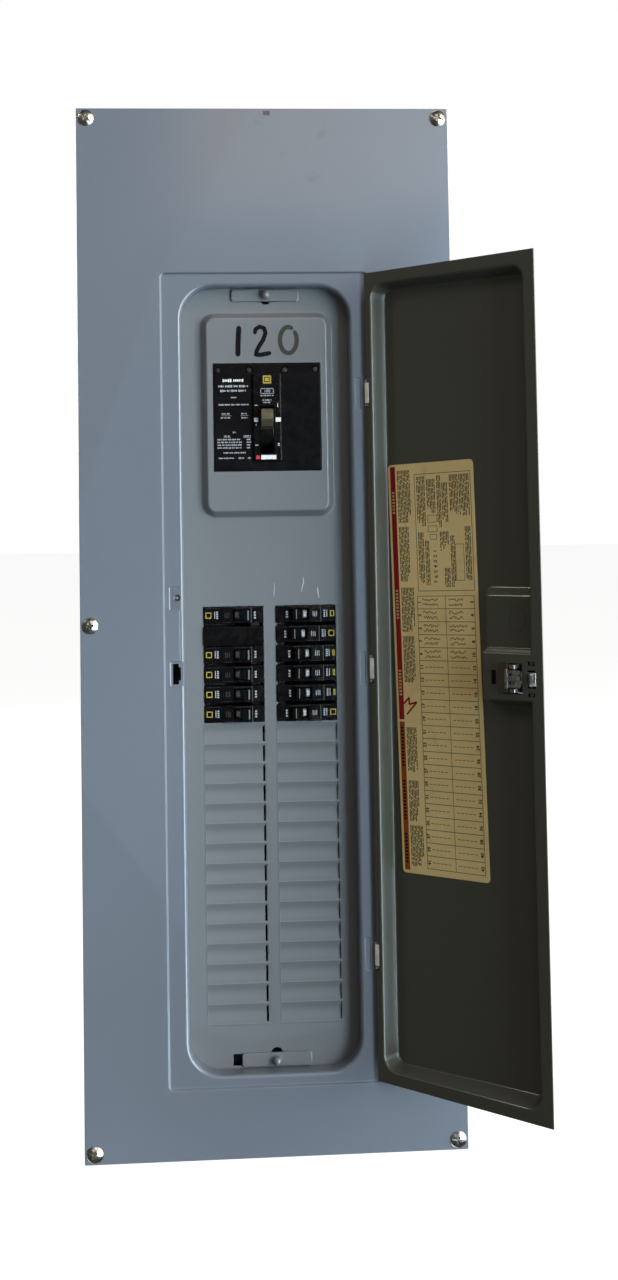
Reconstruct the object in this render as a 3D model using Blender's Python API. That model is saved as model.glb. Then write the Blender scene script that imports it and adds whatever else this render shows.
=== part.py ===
"""A surface-mounted load center: enclosure, cover, hinged door, dead front, breakers and bus.

Frame: origin at the centre of the wall face, +X to the right as seen from the front,
+Y into the wall, +Z up. Units are metres; MM turns the millimetre sizes below into metres.
"""
import math

import bmesh
import bpy
from mathutils import Matrix, Vector

MM = 0.001
CLEARANCE = 0.3 * MM  # gap between pieces that rest on each other

# Enclosure
BOX_W, BOX_H = 362 * MM, 1000 * MM
BOX_SHEET = 1.5 * MM
BOX_FLANGE = 17 * MM
FRONT_Y = -95 * MM  # outer face of the cover
COVER_SHEET = 1.2 * MM
SCREW_X, SCREW_Z = 171.4 * MM, 490.5 * MM
SCREW_HOLE_R = 2.8 * MM
WALL_HOLE_R = 3.6 * MM
KNOCKOUT_DEPTH = 0.6 * MM
KNOCKOUT_R = (14.2 * MM, 11.2 * MM)

# Cover: a land pressed in around the door opening, then a rolled lip
LAND_Y = FRONT_Y + 2.4 * MM
LAND = (-100.4 * MM, 97.6 * MM, -433.4 * MM, 338.0 * MM)
LAND_STEP = 1.6 * MM
OPENING = (-82.0 * MM, 81.0 * MM, -423.4 * MM, 326.4 * MM)
OPENING_R = 31 * MM
RETURN_END_Y = -72.4 * MM
STRIKE = (-91.2 * MM, -85.2 * MM, -56.2 * MM, -35.0 * MM)
BOND_X, BOND_Z = -88.8 * MM, 26.6 * MM

# Dead front and its raised pan around the main breaker
DEAD_Y = -71.6 * MM
DEAD = (-88 * MM, 87 * MM, -429.5 * MM, 332.5 * MM)
PAN_Y = DEAD_Y - 8 * MM
PAN_FOOT = (-65.0 * MM, 67.5 * MM, 101.0 * MM, 305.5 * MM)
PAN_TOP = (-56.0 * MM, 57.0 * MM, 111.0 * MM, 294.3 * MM)
MAIN_WINDOW = (-51.8 * MM, 53.4 * MM, 147.2 * MM, 252.8 * MM)

# Branch spaces
POLE = 19.05 * MM
POLES_TOP = 17.7 * MM
POLES, FILLED_POLES = 21, 6
WINDOW_X = {"left": (-64.3 * MM, -5.5 * MM), "right": (6.1 * MM, 64.9 * MM)}
TWIST_SLOT = {"left": 1.9 * MM, "right": 1.2 * MM}

# Branch breakers; x is measured outwards from the panel's centre line
CASE_IN, CASE_OUT = 3.2 * MM, 78.5 * MM
CASE_BACK_Y, CASE_FRONT_Y = -31.5 * MM, -69.9 * MM
NOSE_SIDE_Y, NOSE_Y = -72.6 * MM, -74.4 * MM
PIVOT_X, PIVOT_Y = 26.5 * MM, -66.5 * MM
BARREL_R = 8.0 * MM
HANDLE_W = 10 * MM
SEAT_SHIFT = {"left": (0, 0, 0, 0, 0), "right": (3.3, 1.4, 5.0, 5.0, 5.2, 1.8)}

# Main breaker
MAIN_BASE = (-57 * MM, 57 * MM, 116 * MM, 284 * MM)
MAIN_FACE = (-51.3 * MM, 52.9 * MM, 147.7 * MM, 252.3 * MM)
MAIN_FACE_Y = PAN_Y - 0.6 * MM
RIDGE = (-12.6 * MM, 14.2 * MM, 156.6 * MM, 242.0 * MM)
RIDGE_Y = MAIN_FACE_Y - 3.2 * MM
MAIN_SLOT = (-6.6 * MM, 7.0 * MM, 164.2 * MM, 210.2 * MM)
MAIN_PIVOT_Y, MAIN_PIVOT_Z = -61.5 * MM, 187.2 * MM
MAIN_DRUM_R = 22 * MM
MAIN_LEAN = math.radians(26)
TRIP = (-11.2 * MM, -7.4 * MM, 158.6 * MM, 162.6 * MM)

# Door, in its own frame: u away from the hinge axis, d out of the rim's inner face
HINGE_X, HINGE_Y = 97.2 * MM, -95.6 * MM
DOOR_OPEN = math.radians(134)
DOOR_INNER_Y = LAND_Y - CLEARANCE
DOOR_U = (0.8 * MM, 197.0 * MM)
DOOR_Z = (-432.2 * MM, 337.2 * MM)
DOOR_RIM, DOOR_SLOPE = 10.9 * MM, 9.9 * MM
HINGE_RIM_END, HINGE_SLOPE_END = 7.5 * MM, 13.4 * MM
LATCH_RAMP = (125.5 * MM, 132.5 * MM)
DOOR_DEPTH, POCKET_DEPTH = 16 * MM, 8.5 * MM
HINGE_CENTRES = {"top": 221 * MM, "middle": -44 * MM, "bottom": -315 * MM}
CLIP_H, CLIP_R = 20.4 * MM, 2.3 * MM
LATCH_Z = -45.4 * MM
LABEL_SIZE = (101 * MM, 387 * MM)
LABEL_CENTRE = (69.0 * MM, -41.7 * MM)
LABEL_TILT = math.radians(1.4)

# Interior
PAN_PLATE_Y = -13.5 * MM
BUS_X = (-12 * MM, 0, 12 * MM)


# ---------------------------------------------------------------- helpers
def clear_scene():
    for obj in list(bpy.data.objects):
        bpy.data.objects.remove(obj)


def make_material(name, rgb, roughness, metallic=0.0):
    mat = bpy.data.materials.new(name)
    mat.use_nodes = True
    shader = mat.node_tree.nodes["Principled BSDF"]
    shader.inputs["Base Color"].default_value = (*rgb, 1)
    shader.inputs["Roughness"].default_value = roughness
    shader.inputs["Metallic"].default_value = metallic
    mat.diffuse_color = (*rgb, 1)
    return mat


def make_object(name, bm, mat, parent=None, smooth=False):
    bmesh.ops.recalc_face_normals(bm, faces=bm.faces)
    mesh = bpy.data.meshes.new(name)
    bm.to_mesh(mesh)
    bm.free()
    if smooth:
        mesh.shade_smooth()
        mesh.set_sharp_from_angle(angle=math.radians(35))
    mesh.materials.append(mat)
    obj = bpy.data.objects.new(name, mesh)
    bpy.context.scene.collection.objects.link(obj)
    obj.parent = parent
    return obj


def empty_at(name, location, turn_z=0.0):
    obj = bpy.data.objects.new(name, None)
    bpy.context.scene.collection.objects.link(obj)
    obj.location = location
    obj.rotation_euler = (0, 0, turn_z)
    return obj


def rect(area, y):
    """Four corners of an upright rectangle (x0, x1, z0, z1) at depth y."""
    x0, x1, z0, z1 = area
    return [(x0, y, z0), (x1, y, z0), (x1, y, z1), (x0, y, z1)]


def round_rect(area, radius, y, segments=5):
    """The same rectangle with rounded corners."""
    x0, x1, z0, z1 = area
    centres = [
        (x0 + radius, z0 + radius, math.pi),
        (x1 - radius, z0 + radius, 1.5 * math.pi),
        (x1 - radius, z1 - radius, 0),
        (x0 + radius, z1 - radius, 0.5 * math.pi),
    ]
    points = []
    for cx, cz, start in centres:
        for i in range(segments + 1):
            angle = start + 0.5 * math.pi * i / segments
            points.append((cx + radius * math.cos(angle), y, cz + radius * math.sin(angle)))
    return points


def grown(area, by):
    x0, x1, z0, z1 = area
    return (x0 - by, x1 + by, z0 - by, z1 + by)


def ring_stack(rings, closed=False):
    """A solid skinned over rings of equal point count: capped, or joined last to first."""
    bm = bmesh.new()
    loops = [[bm.verts.new(p) for p in ring] for ring in rings]
    pairs = list(zip(loops, loops[1:]))
    if closed:
        pairs.append((loops[-1], loops[0]))
    count = len(loops[0])
    for a, b in pairs:
        for i in range(count):
            j = (i + 1) % count
            bm.faces.new((a[i], a[j], b[j], b[i]))
    if not closed:
        bm.faces.new(loops[0])
        bm.faces.new(loops[-1])
    return bm


def prism(points, axis, start, end):
    """A polygon drawn in the plane across axis, extruded along it from start to end."""
    place = {"x": lambda a, b, c: (c, a, b), "y": lambda a, b, c: (a, c, b), "z": lambda a, b, c: (a, b, c)}[axis]
    return ring_stack([[place(a, b, c) for a, b in points] for c in (start, end)])


def add_box(bm, x0, x1, y0, y1, z0, z1):
    bmesh.ops.create_cube(
        bm,
        size=1,
        matrix=Matrix.Translation(((x0 + x1) / 2, (y0 + y1) / 2, (z0 + z1) / 2))
        @ Matrix.Diagonal((x1 - x0, y1 - y0, z1 - z0, 1)),
    )


def add_disc(bm, centre, radius, depth, axis, segments=12):
    """A short cylinder about centre whose length depth lies along axis."""
    turn = Vector((0, 0, 1)).rotation_difference(Vector(axis)).to_matrix().to_4x4()
    bmesh.ops.create_cone(
        bm,
        cap_ends=True,
        segments=segments,
        radius1=radius,
        radius2=radius,
        depth=depth,
        matrix=Matrix.Translation(centre) @ turn,
    )


def lathe_y(profile, centre, segments=14):
    """A turned solid about an axis along Y. profile is (radius, y) from tip to tip, on the axis at both ends."""
    cx, cz = centre
    bm = bmesh.new()
    first = bm.verts.new((cx, profile[0][1], cz))
    last = bm.verts.new((cx, profile[-1][1], cz))
    loops = []
    for radius, y in profile[1:-1]:
        angles = [2 * math.pi * i / segments for i in range(segments)]
        loops.append([bm.verts.new((cx + radius * math.cos(a), y, cz + radius * math.sin(a))) for a in angles])
    for i in range(segments):
        j = (i + 1) % segments
        bm.faces.new((first, loops[0][i], loops[0][j]))
        bm.faces.new((last, loops[-1][j], loops[-1][i]))
        for a, b in zip(loops, loops[1:]):
            bm.faces.new((a[i], a[j], b[j], b[i]))
    return bm


def boolean(obj, bm, operation="DIFFERENCE"):
    """Cuts bm from obj, or joins it, with a hidden helper object that shares obj's parent."""
    bmesh.ops.recalc_face_normals(bm, faces=bm.faces)
    mesh = bpy.data.meshes.new(obj.name + "_helper")
    bm.to_mesh(mesh)
    bm.free()
    helper = bpy.data.objects.new(obj.name + "_helper", mesh)
    bpy.context.scene.collection.objects.link(helper)
    helper.parent = obj.parent
    helper.hide_render = True
    helper.display_type = "WIRE"
    mod = obj.modifiers.new(operation.title(), "BOOLEAN")
    mod.operation = operation
    mod.object = helper
    return helper


# ---------------------------------------------------------------- enclosure and cover
def screw_places():
    rows = {"top": SCREW_Z, "middle": 1.5 * MM, "bottom": -SCREW_Z}
    sides = {"left": -SCREW_X, "right": SCREW_X}
    return {f"{r}_{s}": (x, z) for r, z in rows.items() for s, x in sides.items()}


def screw_hole_cutter():
    bm = bmesh.new()
    for x, z in screw_places().values():
        add_disc(bm, (x, FRONT_Y, z), SCREW_HOLE_R, 20 * MM, (0, 1, 0), 10)
    return bm


def box_knockout_cutter():
    """Shallow round presses in the walls, where conduit enters, and the wall screws' holes."""
    bm = bmesh.new()
    large, small = KNOCKOUT_R
    press = 2 * KNOCKOUT_DEPTH
    for sign in (-1, 1):
        for x, y, r in ((-130, -50, large), (-66, -50, large), (0, -46, 1.6 * large), (66, -50, large), (130, -50, large)):
            add_disc(bm, (x * MM, y * MM, sign * BOX_H / 2), r, press, (0, 0, 1), 16)
        for z, r in ((440, large), (380, small), (-380, small), (-440, large)):
            add_disc(bm, (sign * BOX_W / 2, -48 * MM, z * MM), r, press, (1, 0, 0), 16)
            if abs(z) > 400:
                add_disc(bm, (sign * 118 * MM, 0, z * MM), r, press, (0, 1, 0), 16)
        for x in (-140 * MM, 140 * MM):
            add_disc(bm, (x, 0, sign * 300 * MM), WALL_HOLE_R, 20 * MM, (0, 1, 0))
    return bm


def build_enclosure(mats):
    half_w, half_h = BOX_W / 2, BOX_H / 2
    outer = (-half_w, half_w, -half_h, half_h)
    inner = grown(outer, -BOX_SHEET)
    mouth = grown(outer, -BOX_FLANGE)
    flange_y = FRONT_Y + COVER_SHEET + CLEARANCE
    bm = ring_stack(
        [
            rect(outer, 0),
            rect(outer, flange_y),
            rect(mouth, flange_y),
            rect(mouth, flange_y + BOX_SHEET),
            rect(inner, flange_y + BOX_SHEET),
            rect(inner, -BOX_SHEET),
        ]
    )
    box = make_object("enclosure_box", bm, mats["galvanised"])
    boolean(box, screw_hole_cutter())
    boolean(box, box_knockout_cutter())


def build_cover(mats):
    half_w, half_h = BOX_W / 2, BOX_H / 2
    edge = (-half_w, half_w, -half_h, half_h)
    t = COVER_SHEET
    lip = grown(OPENING, 2.0 * MM)
    front = [
        round_rect(edge, 1.5 * MM, FRONT_Y),
        round_rect(grown(LAND, LAND_STEP), 3.6 * MM, FRONT_Y),
        round_rect(LAND, 2.2 * MM, LAND_Y),
        round_rect(lip, OPENING_R + 2 * MM, LAND_Y),
        round_rect(OPENING, OPENING_R, LAND_Y + 2.2 * MM),
        round_rect(OPENING, OPENING_R, RETURN_END_Y),
    ]
    back = [
        round_rect(grown(OPENING, t), OPENING_R + t, RETURN_END_Y),
        round_rect(grown(OPENING, t), OPENING_R + t, LAND_Y + 2.7 * MM),
        round_rect(grown(lip, 0.5 * MM), OPENING_R + 2.5 * MM, LAND_Y + t),
        round_rect(grown(LAND, 0.5 * MM), 2.7 * MM, LAND_Y + t),
        round_rect(grown(LAND, LAND_STEP + 0.5 * MM), 4.1 * MM, FRONT_Y + t),
        round_rect(edge, 1.5 * MM, FRONT_Y + t),
    ]
    cover = make_object("front_cover", ring_stack(front + back, closed=True), mats["grey_paint"])
    boolean(cover, screw_hole_cutter())
    cutter = bmesh.new()
    add_box(cutter, STRIKE[0], STRIKE[1], FRONT_Y - 5 * MM, LAND_Y + 4 * MM, STRIKE[2], STRIKE[3])
    add_disc(cutter, (BOND_X, LAND_Y, BOND_Z), 3.5 * MM, 10 * MM, (0, 1, 0), 14)
    for z in HINGE_CENTRES.values():
        add_box(cutter, 92.4 * MM, 100.6 * MM, FRONT_Y - 5 * MM, LAND_Y + 5 * MM, z - 13.4 * MM, z + 13.4 * MM)
    boolean(cover, cutter)


def build_cover_screws(mats):
    head_y = FRONT_Y - CLEARANCE
    profile = [
        (0, head_y - 3.2 * MM),
        (4.2 * MM, head_y - 2.8 * MM),
        (6.9 * MM, head_y - 1.5 * MM),
        (7.9 * MM, head_y - 0.2 * MM),
        (7.6 * MM, head_y),
        (2.4 * MM, head_y),
        (2.4 * MM, head_y + 13 * MM),
        (1.4 * MM, head_y + 15 * MM),
        (0, head_y + 15 * MM),
    ]
    for where, centre in screw_places().items():
        make_object(f"cover_screw_{where}", lathe_y(profile, centre), mats["chrome"], smooth=True)
    small = [(0, 0), (2.4, 0.1), (3.2, 0.5), (3.2, 1.4), (1.5, 1.4), (1.5, 7), (0, 7.6)]
    y = LAND_Y + 0.1 * MM
    profile = [(r * MM, y + d * MM) for r, d in small]
    make_object("bonding_screw", lathe_y(profile, (BOND_X, BOND_Z), 10), mats["chrome"], smooth=True)


# ---------------------------------------------------------------- dead front
def pole_z(index):
    """Height of the centre of a branch space, counted from the top."""
    return POLES_TOP - POLE * (index + 0.5)


def build_dead_front(mats):
    t = COVER_SHEET
    front = [
        round_rect(DEAD, 36 * MM, DEAD_Y),
        round_rect(PAN_FOOT, 13 * MM, DEAD_Y),
        round_rect(PAN_TOP, 8 * MM, PAN_Y),
        round_rect(MAIN_WINDOW, 1 * MM, PAN_Y),
    ]
    back = [
        round_rect(MAIN_WINDOW, 1 * MM, PAN_Y + t),
        round_rect(grown(PAN_TOP, -0.5 * MM), 7.5 * MM, PAN_Y + t),
        round_rect(grown(PAN_FOOT, -0.5 * MM), 12.5 * MM, DEAD_Y + t),
        round_rect(DEAD, 36 * MM, DEAD_Y + t),
    ]
    plate = make_object("dead_front", ring_stack(front + back, closed=True), mats["grey_paint"])
    cutter = bmesh.new()
    y0, y1 = DEAD_Y - 5 * MM, DEAD_Y + 5 * MM
    bottom = POLES_TOP - FILLED_POLES * POLE
    for side, (x0, x1) in WINDOW_X.items():
        add_box(cutter, x0, x1, y0, y1, bottom, POLES_TOP)
        for index in range(FILLED_POLES, POLES):
            z = pole_z(index)
            add_box(cutter, x1 - TWIST_SLOT[side], x1, y0, y1, z - 8.2 * MM, z + 8.2 * MM)
    for slide in SLIDES.values():
        x, z = slide["knob"]
        add_disc(cutter, (x, DEAD_Y, z + slide["hole_z"]), 5.2 * MM, 10 * MM, (0, 1, 0))
        z0, z1 = slide["slot_z"]
        add_box(cutter, slide["slot_x0"], -18 * MM, y0, y1, z0, z1)
    boolean(plate, cutter)


# The slides that hold the dead front: a plate with a hook through a slot, and a round knob
SLIDES = {
    "top": {
        "plate": (-32.8 * MM, 33.4 * MM, 313.7 * MM, 325.6 * MM),
        "knob": (1.0 * MM, 320.0 * MM),
        "hole_z": -3.4 * MM,
        "slot_x0": -36.8 * MM,
        "slot_z": (314.6 * MM, 324.6 * MM),
    },
    "bottom": {
        "plate": (-32.0 * MM, 35.0 * MM, -422.6 * MM, -409.4 * MM),
        "knob": (1.5 * MM, -416.2 * MM),
        "hole_z": 4.4 * MM,
        "slot_x0": -41.0 * MM,
        "slot_z": (-421.6 * MM, -410.2 * MM),
    },
}


def build_slides(mats):
    for where, slide in SLIDES.items():
        back_y = DEAD_Y - CLEARANCE
        plate = slide["plate"]
        z0, z1 = slide["slot_z"]
        hook = (-30 * MM, -24 * MM, z0 + 2.5 * MM, z1 - 2.5 * MM)
        rings = [
            rect(hook, DEAD_Y + 3.2 * MM),
            rect(hook, back_y),
            rect(plate, back_y),
            rect(plate, back_y - 1.7 * MM),
            rect(grown(plate, -0.6 * MM), back_y - 2.3 * MM),
        ]
        obj = make_object(f"{where}_slide", ring_stack(rings), mats["grey_paint"])
        cutter = bmesh.new()
        x, z = slide["knob"]
        add_disc(cutter, (x, back_y - 1 * MM, z), 2.4 * MM, 10 * MM, (0, 1, 0))
        boolean(obj, cutter)
        top_y = back_y - 2.3 * MM
        profile = [
            (0, top_y - 5.6 * MM),
            (2.4 * MM, top_y - 5.1 * MM),
            (4.1 * MM, top_y - 3.2 * MM),
            (4.1 * MM, top_y - 2.0 * MM),
            (2.4 * MM, top_y - CLEARANCE),
            (1.9 * MM, top_y - CLEARANCE),
            (1.9 * MM, back_y),
            (0, back_y),
        ]
        make_object(f"{where}_slide_knob", lathe_y(profile, (x, z), 12), mats["chrome"], smooth=True)


# ---------------------------------------------------------------- breakers
def mirrored(side, area, shift=0.0):
    """An area given outwards from the centre line, placed on its side of the panel."""
    near, far, z0, z1 = area
    if side == "left":
        return (-far + shift, -near + shift, z0, z1)
    return (near + shift, far + shift, z0, z1)


def branch_layout():
    """(name, side, lowest pole's index, poles taken, shift along x) of each branch breaker."""
    rows = [("left", n, p) for n, p in ((0, 1), (2, 2), (3, 1), (4, 1), (5, 1))]
    rows += [("right", n, 1) for n in range(FILLED_POLES)]
    count = {"left": 0, "right": 0}
    for side, index, poles in rows:
        shift = SEAT_SHIFT[side][count[side]] * MM
        count[side] += 1
        yield f"{side}_{count[side]}", side, index, poles, shift


def branch_case(side, index, poles, shift):
    z = pole_z(index)
    extra = (poles - 1) * POLE
    x_near, x_far = WINDOW_X[side] if side == "right" else (-WINDOW_X[side][1], -WINDOW_X[side][0])
    near, far = x_near + 0.5 * MM, x_far - 0.6 * MM
    slot_in, slot_out = PIVOT_X - 8.6 * MM, PIVOT_X + 8.6 * MM
    base = mirrored(side, (CASE_IN, CASE_OUT, z - 9.2 * MM, z + 9.2 * MM + extra), shift)
    shoulder = mirrored(side, (near, far, z - 8.2 * MM, z + 8.0 * MM + extra))
    nose = mirrored(side, (near, far, z - 8.0 * MM, z + 7.8 * MM))
    ridge = mirrored(side, (near + 1 * MM, far - 1 * MM, z - 6.4 * MM, z + 6.2 * MM))
    slot = mirrored(side, (slot_in, slot_out, z - 5.3 * MM, z + 5.3 * MM), shift)
    rings = [rect(base, CASE_BACK_Y), rect(base, CASE_FRONT_Y)]
    if poles > 1:
        rings += [rect(shoulder, CASE_FRONT_Y), rect(shoulder, NOSE_SIDE_Y)]
        rings += [rect(nose, NOSE_SIDE_Y)]
    else:
        rings += [rect(nose, CASE_FRONT_Y), rect(nose, NOSE_SIDE_Y)]
    rings += [rect(ridge, NOSE_Y), rect(slot, NOSE_Y), rect(slot, PIVOT_Y + 8.6 * MM)]
    return ring_stack(rings)


def branch_handle_profile():
    """The toggle's outline about its pivot, leaning in. a points to the panel's centre, b to the front."""
    r = BARREL_R
    flat = [math.radians(a) for a in (48, -2)]  # ends of the flat that carries the rating
    outline = [(-r * math.sin(a), r * math.cos(a)) for a in flat]
    outline += [(4.4 * MM, 14.2 * MM), (5.4 * MM, 14.8 * MM), (7.3 * MM, 13.9 * MM), (7.5 * MM, 13.0 * MM)]
    start, end, steps = math.radians(-46), math.radians(-312), 12
    for i in range(steps):
        a = start + (end - start) * i / steps
        outline.append((-r * math.sin(a), r * math.cos(a)))
    return outline


def build_branch_breakers(mats):
    for name, side, index, poles, shift in branch_layout():
        make_object(f"branch_case_{name}", branch_case(side, index, poles, shift), mats["black_case"])
        inward = 1 if side == "left" else -1
        points = [(inward * a, -b) for a, b in branch_handle_profile()]
        handle = make_object(
            f"branch_handle_{name}", prism(points, "z", -HANDLE_W / 2, HANDLE_W / 2), mats["black_handle"]
        )
        handle.location = (-inward * PIVOT_X + shift, PIVOT_Y, pole_z(index))


def build_main_breaker(mats):
    ridge_top = grown(RIDGE, -0.8 * MM)
    rings = [
        rect(MAIN_BASE, PAN_PLATE_Y - CLEARANCE),
        rect(MAIN_BASE, DEAD_Y - 1 * MM),
        rect(MAIN_FACE, DEAD_Y - 1 * MM),
        rect(MAIN_FACE, MAIN_FACE_Y),
        rect(RIDGE, MAIN_FACE_Y),
        rect(ridge_top, RIDGE_Y),
        rect(MAIN_SLOT, RIDGE_Y),
        rect(MAIN_SLOT, MAIN_PIVOT_Y + 23 * MM),
    ]
    case = make_object("main_breaker_case", ring_stack(rings), mats["black_case"])
    hole = grown(TRIP, 0.35 * MM)
    cutter = bmesh.new()
    add_box(cutter, hole[0], hole[1], RIDGE_Y - 3 * MM, RIDGE_Y + 8 * MM, hole[2], hole[3])
    boolean(case, cutter)

    r = MAIN_DRUM_R
    half, tip_half, tip_r = 6.6 * MM, 5.6 * MM, 36 * MM
    across = math.asin(half / r)
    arc = [across + (2 * math.pi - 2 * across) * i / 22 for i in range(23)]
    outline = [(r * math.sin(a), r * math.cos(a)) for a in arc]
    outline += [(-tip_half, tip_r - 1.5 * MM), (-tip_half + 1.5 * MM, tip_r)]
    outline += [(tip_half - 1.5 * MM, tip_r), (tip_half, tip_r - 1.5 * MM)]
    cos_l, sin_l = math.cos(MAIN_LEAN), math.sin(MAIN_LEAN)
    points = [(-(b * cos_l - a * sin_l), a * cos_l + b * sin_l) for a, b in outline]
    x0, x1 = MAIN_SLOT[0] + 0.4 * MM, MAIN_SLOT[1] - 0.4 * MM
    handle = make_object("main_breaker_handle", prism(points, "x", x0, x1), mats["black_handle"])
    handle.location = (0, MAIN_PIVOT_Y, MAIN_PIVOT_Z)

    button = [rect(TRIP, RIDGE_Y + 5 * MM), rect(TRIP, RIDGE_Y - 0.2 * MM), rect(grown(TRIP, -0.4 * MM), RIDGE_Y - 0.6 * MM)]
    make_object("main_trip_button", ring_stack(button), mats["red_button"])


# ---------------------------------------------------------------- door
def door_point(u, d, z):
    """A point of the closed door relative to the hinge axis."""
    return (-u, (DOOR_INNER_Y - HINGE_Y) - d, z)


def door_box(bm, u0, u1, d0, d1, z0, z1):
    x1, y1, _ = door_point(u0, d0, 0)
    x0, y0, _ = door_point(u1, d1, 0)
    add_box(bm, x0, x1, y0, y1, z0, z1)


def door_depths():
    """The pressed shape as a grid: columns of u, rows of z, and the depth at each crossing."""
    far_rim = DOOR_U[1] - DOOR_RIM
    us = [DOOR_U[0], HINGE_RIM_END, HINGE_SLOPE_END, *LATCH_RAMP, far_rim - DOOR_SLOPE, far_rim, DOOR_U[1]]
    rim_z = (DOOR_Z[0] + DOOR_RIM, DOOR_Z[1] - DOOR_RIM)
    zs = [DOOR_Z[0], rim_z[0], rim_z[0] + DOOR_SLOPE, -73 * MM, -64 * MM, -23 * MM, -20 * MM, 26 * MM, 36 * MM]
    zs += [rim_z[1] - DOOR_SLOPE, rim_z[1], DOOR_Z[1]]
    depths = []
    for z in zs:
        row = []
        for u in us:
            on_rim = u <= us[1] or u >= us[6] or z <= zs[1] or z >= zs[10]
            latch_land = u >= us[4] and zs[4] <= z <= zs[5]
            pocket = u >= us[4] and zs[6] <= z <= zs[7]
            row.append(0 if on_rim or latch_land else POCKET_DEPTH if pocket else DOOR_DEPTH)
        depths.append(row)
    return us, zs, depths


def build_door(mats, hinge):
    us, zs, depths = door_depths()
    bm = bmesh.new()
    inner = [[bm.verts.new(door_point(u, depths[j][i], z)) for i, u in enumerate(us)] for j, z in enumerate(zs)]
    outer = [
        [bm.verts.new(door_point(u, depths[j][i] + COVER_SHEET, z)) for i, u in enumerate(us)]
        for j, z in enumerate(zs)
    ]
    rows, columns = len(zs), len(us)
    for j in range(rows - 1):
        for i in range(columns - 1):
            for grid in (inner, outer):
                a, b, c, d = grid[j][i], grid[j][i + 1], grid[j + 1][i + 1], grid[j + 1][i]
                bm.faces.new((a, b, c))
                bm.faces.new((a, c, d))
    border = [(0, i) for i in range(columns)] + [(j, columns - 1) for j in range(1, rows)]
    border += [(rows - 1, i) for i in range(columns - 2, -1, -1)] + [(j, 0) for j in range(rows - 2, 0, -1)]
    for (ja, ia), (jb, ib) in zip(border, border[1:] + border[:1]):
        bm.faces.new((inner[ja][ia], inner[jb][ib], outer[jb][ib], outer[ja][ia]))
    door = make_object("door_panel", bm, mats["grey_paint"], hinge)

    cutter = bmesh.new()
    holes = [
        (152.8, 174.4, -58.6, -32.2),
        (179.6, 189.4, -53.4, -37.4),
        (140.6, 146.2, -51.0, -39.0),
        (180.2, 188.2, -33.0, -30.0),
        (180.2, 188.2, -60.8, -57.8),
    ]
    for u0, u1, z0, z1 in holes:
        door_box(cutter, u0 * MM, u1 * MM, -5 * MM, 5 * MM, z0 * MM, z1 * MM)
    for z in HINGE_CENTRES.values():
        door_box(cutter, -2 * MM, 4.4 * MM, -5 * MM, 5 * MM, z - 14.2 * MM, z + 14.2 * MM)
    boolean(door, cutter)

    w, h = LABEL_SIZE
    centre = (-LABEL_CENTRE[0], (DOOR_INNER_Y - HINGE_Y) - DOOR_DEPTH + CLEARANCE, LABEL_CENTRE[1])
    rings = [round_rect((-w / 2, w / 2, -h / 2, h / 2), 4 * MM, y, 3) for y in (0, 0.4 * MM)]
    label = make_object("directory_label", ring_stack(rings), mats["label_paper"], hinge)
    label.location = centre
    label.rotation_euler = (0, LABEL_TILT, 0)


def build_hinges(mats, hinge):
    """Each hinge is a nylon knuckle in the door's edge, turning on a bracket's fixed pin."""
    for where, z in HINGE_CENTRES.items():
        bm = bmesh.new()
        add_disc(bm, (0, 0, z), CLIP_R, CLIP_H, (0, 0, 1), 14)
        clip = make_object(f"hinge_clip_{where}", bm, mats["nylon"], hinge, smooth=True)
        foot = bmesh.new()
        x1, y1, _ = door_point(1.0 * MM, -0.1 * MM, 0)
        x0, y0, _ = door_point(4.0 * MM, 1.3 * MM, 0)
        add_box(foot, x0, x1, y0, y1, z - CLIP_H / 2 + 0.5 * MM, z + CLIP_H / 2 - 0.5 * MM)
        boolean(clip, foot, "UNION")
        bore = bmesh.new()
        add_disc(bore, (0, 0, z), 1.3 * MM, 2 * CLIP_H, (0, 0, 1), 10)
        boolean(clip, bore)

        bm = bmesh.new()
        add_disc(bm, (HINGE_X, HINGE_Y, z), 0.95 * MM, 2 * 12.2 * MM, (0, 0, 1), 10)
        bracket = make_object(f"hinge_bracket_{where}", bm, mats["steel"], smooth=True)
        frame = bmesh.new()
        add_box(frame, 86.5 * MM, 99.2 * MM, -89.8 * MM, -88.6 * MM, z - 12.2 * MM, z + 12.2 * MM)
        boolean(bracket, frame, "UNION")
        for end in (-1, 1):
            ear = bmesh.new()
            centre = z + end * 12.2 * MM
            add_box(ear, 95.2 * MM, 99.2 * MM, -97.4 * MM, -89.0 * MM, centre - 0.6 * MM, centre + 0.6 * MM)
            boolean(bracket, ear, "UNION")


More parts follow.
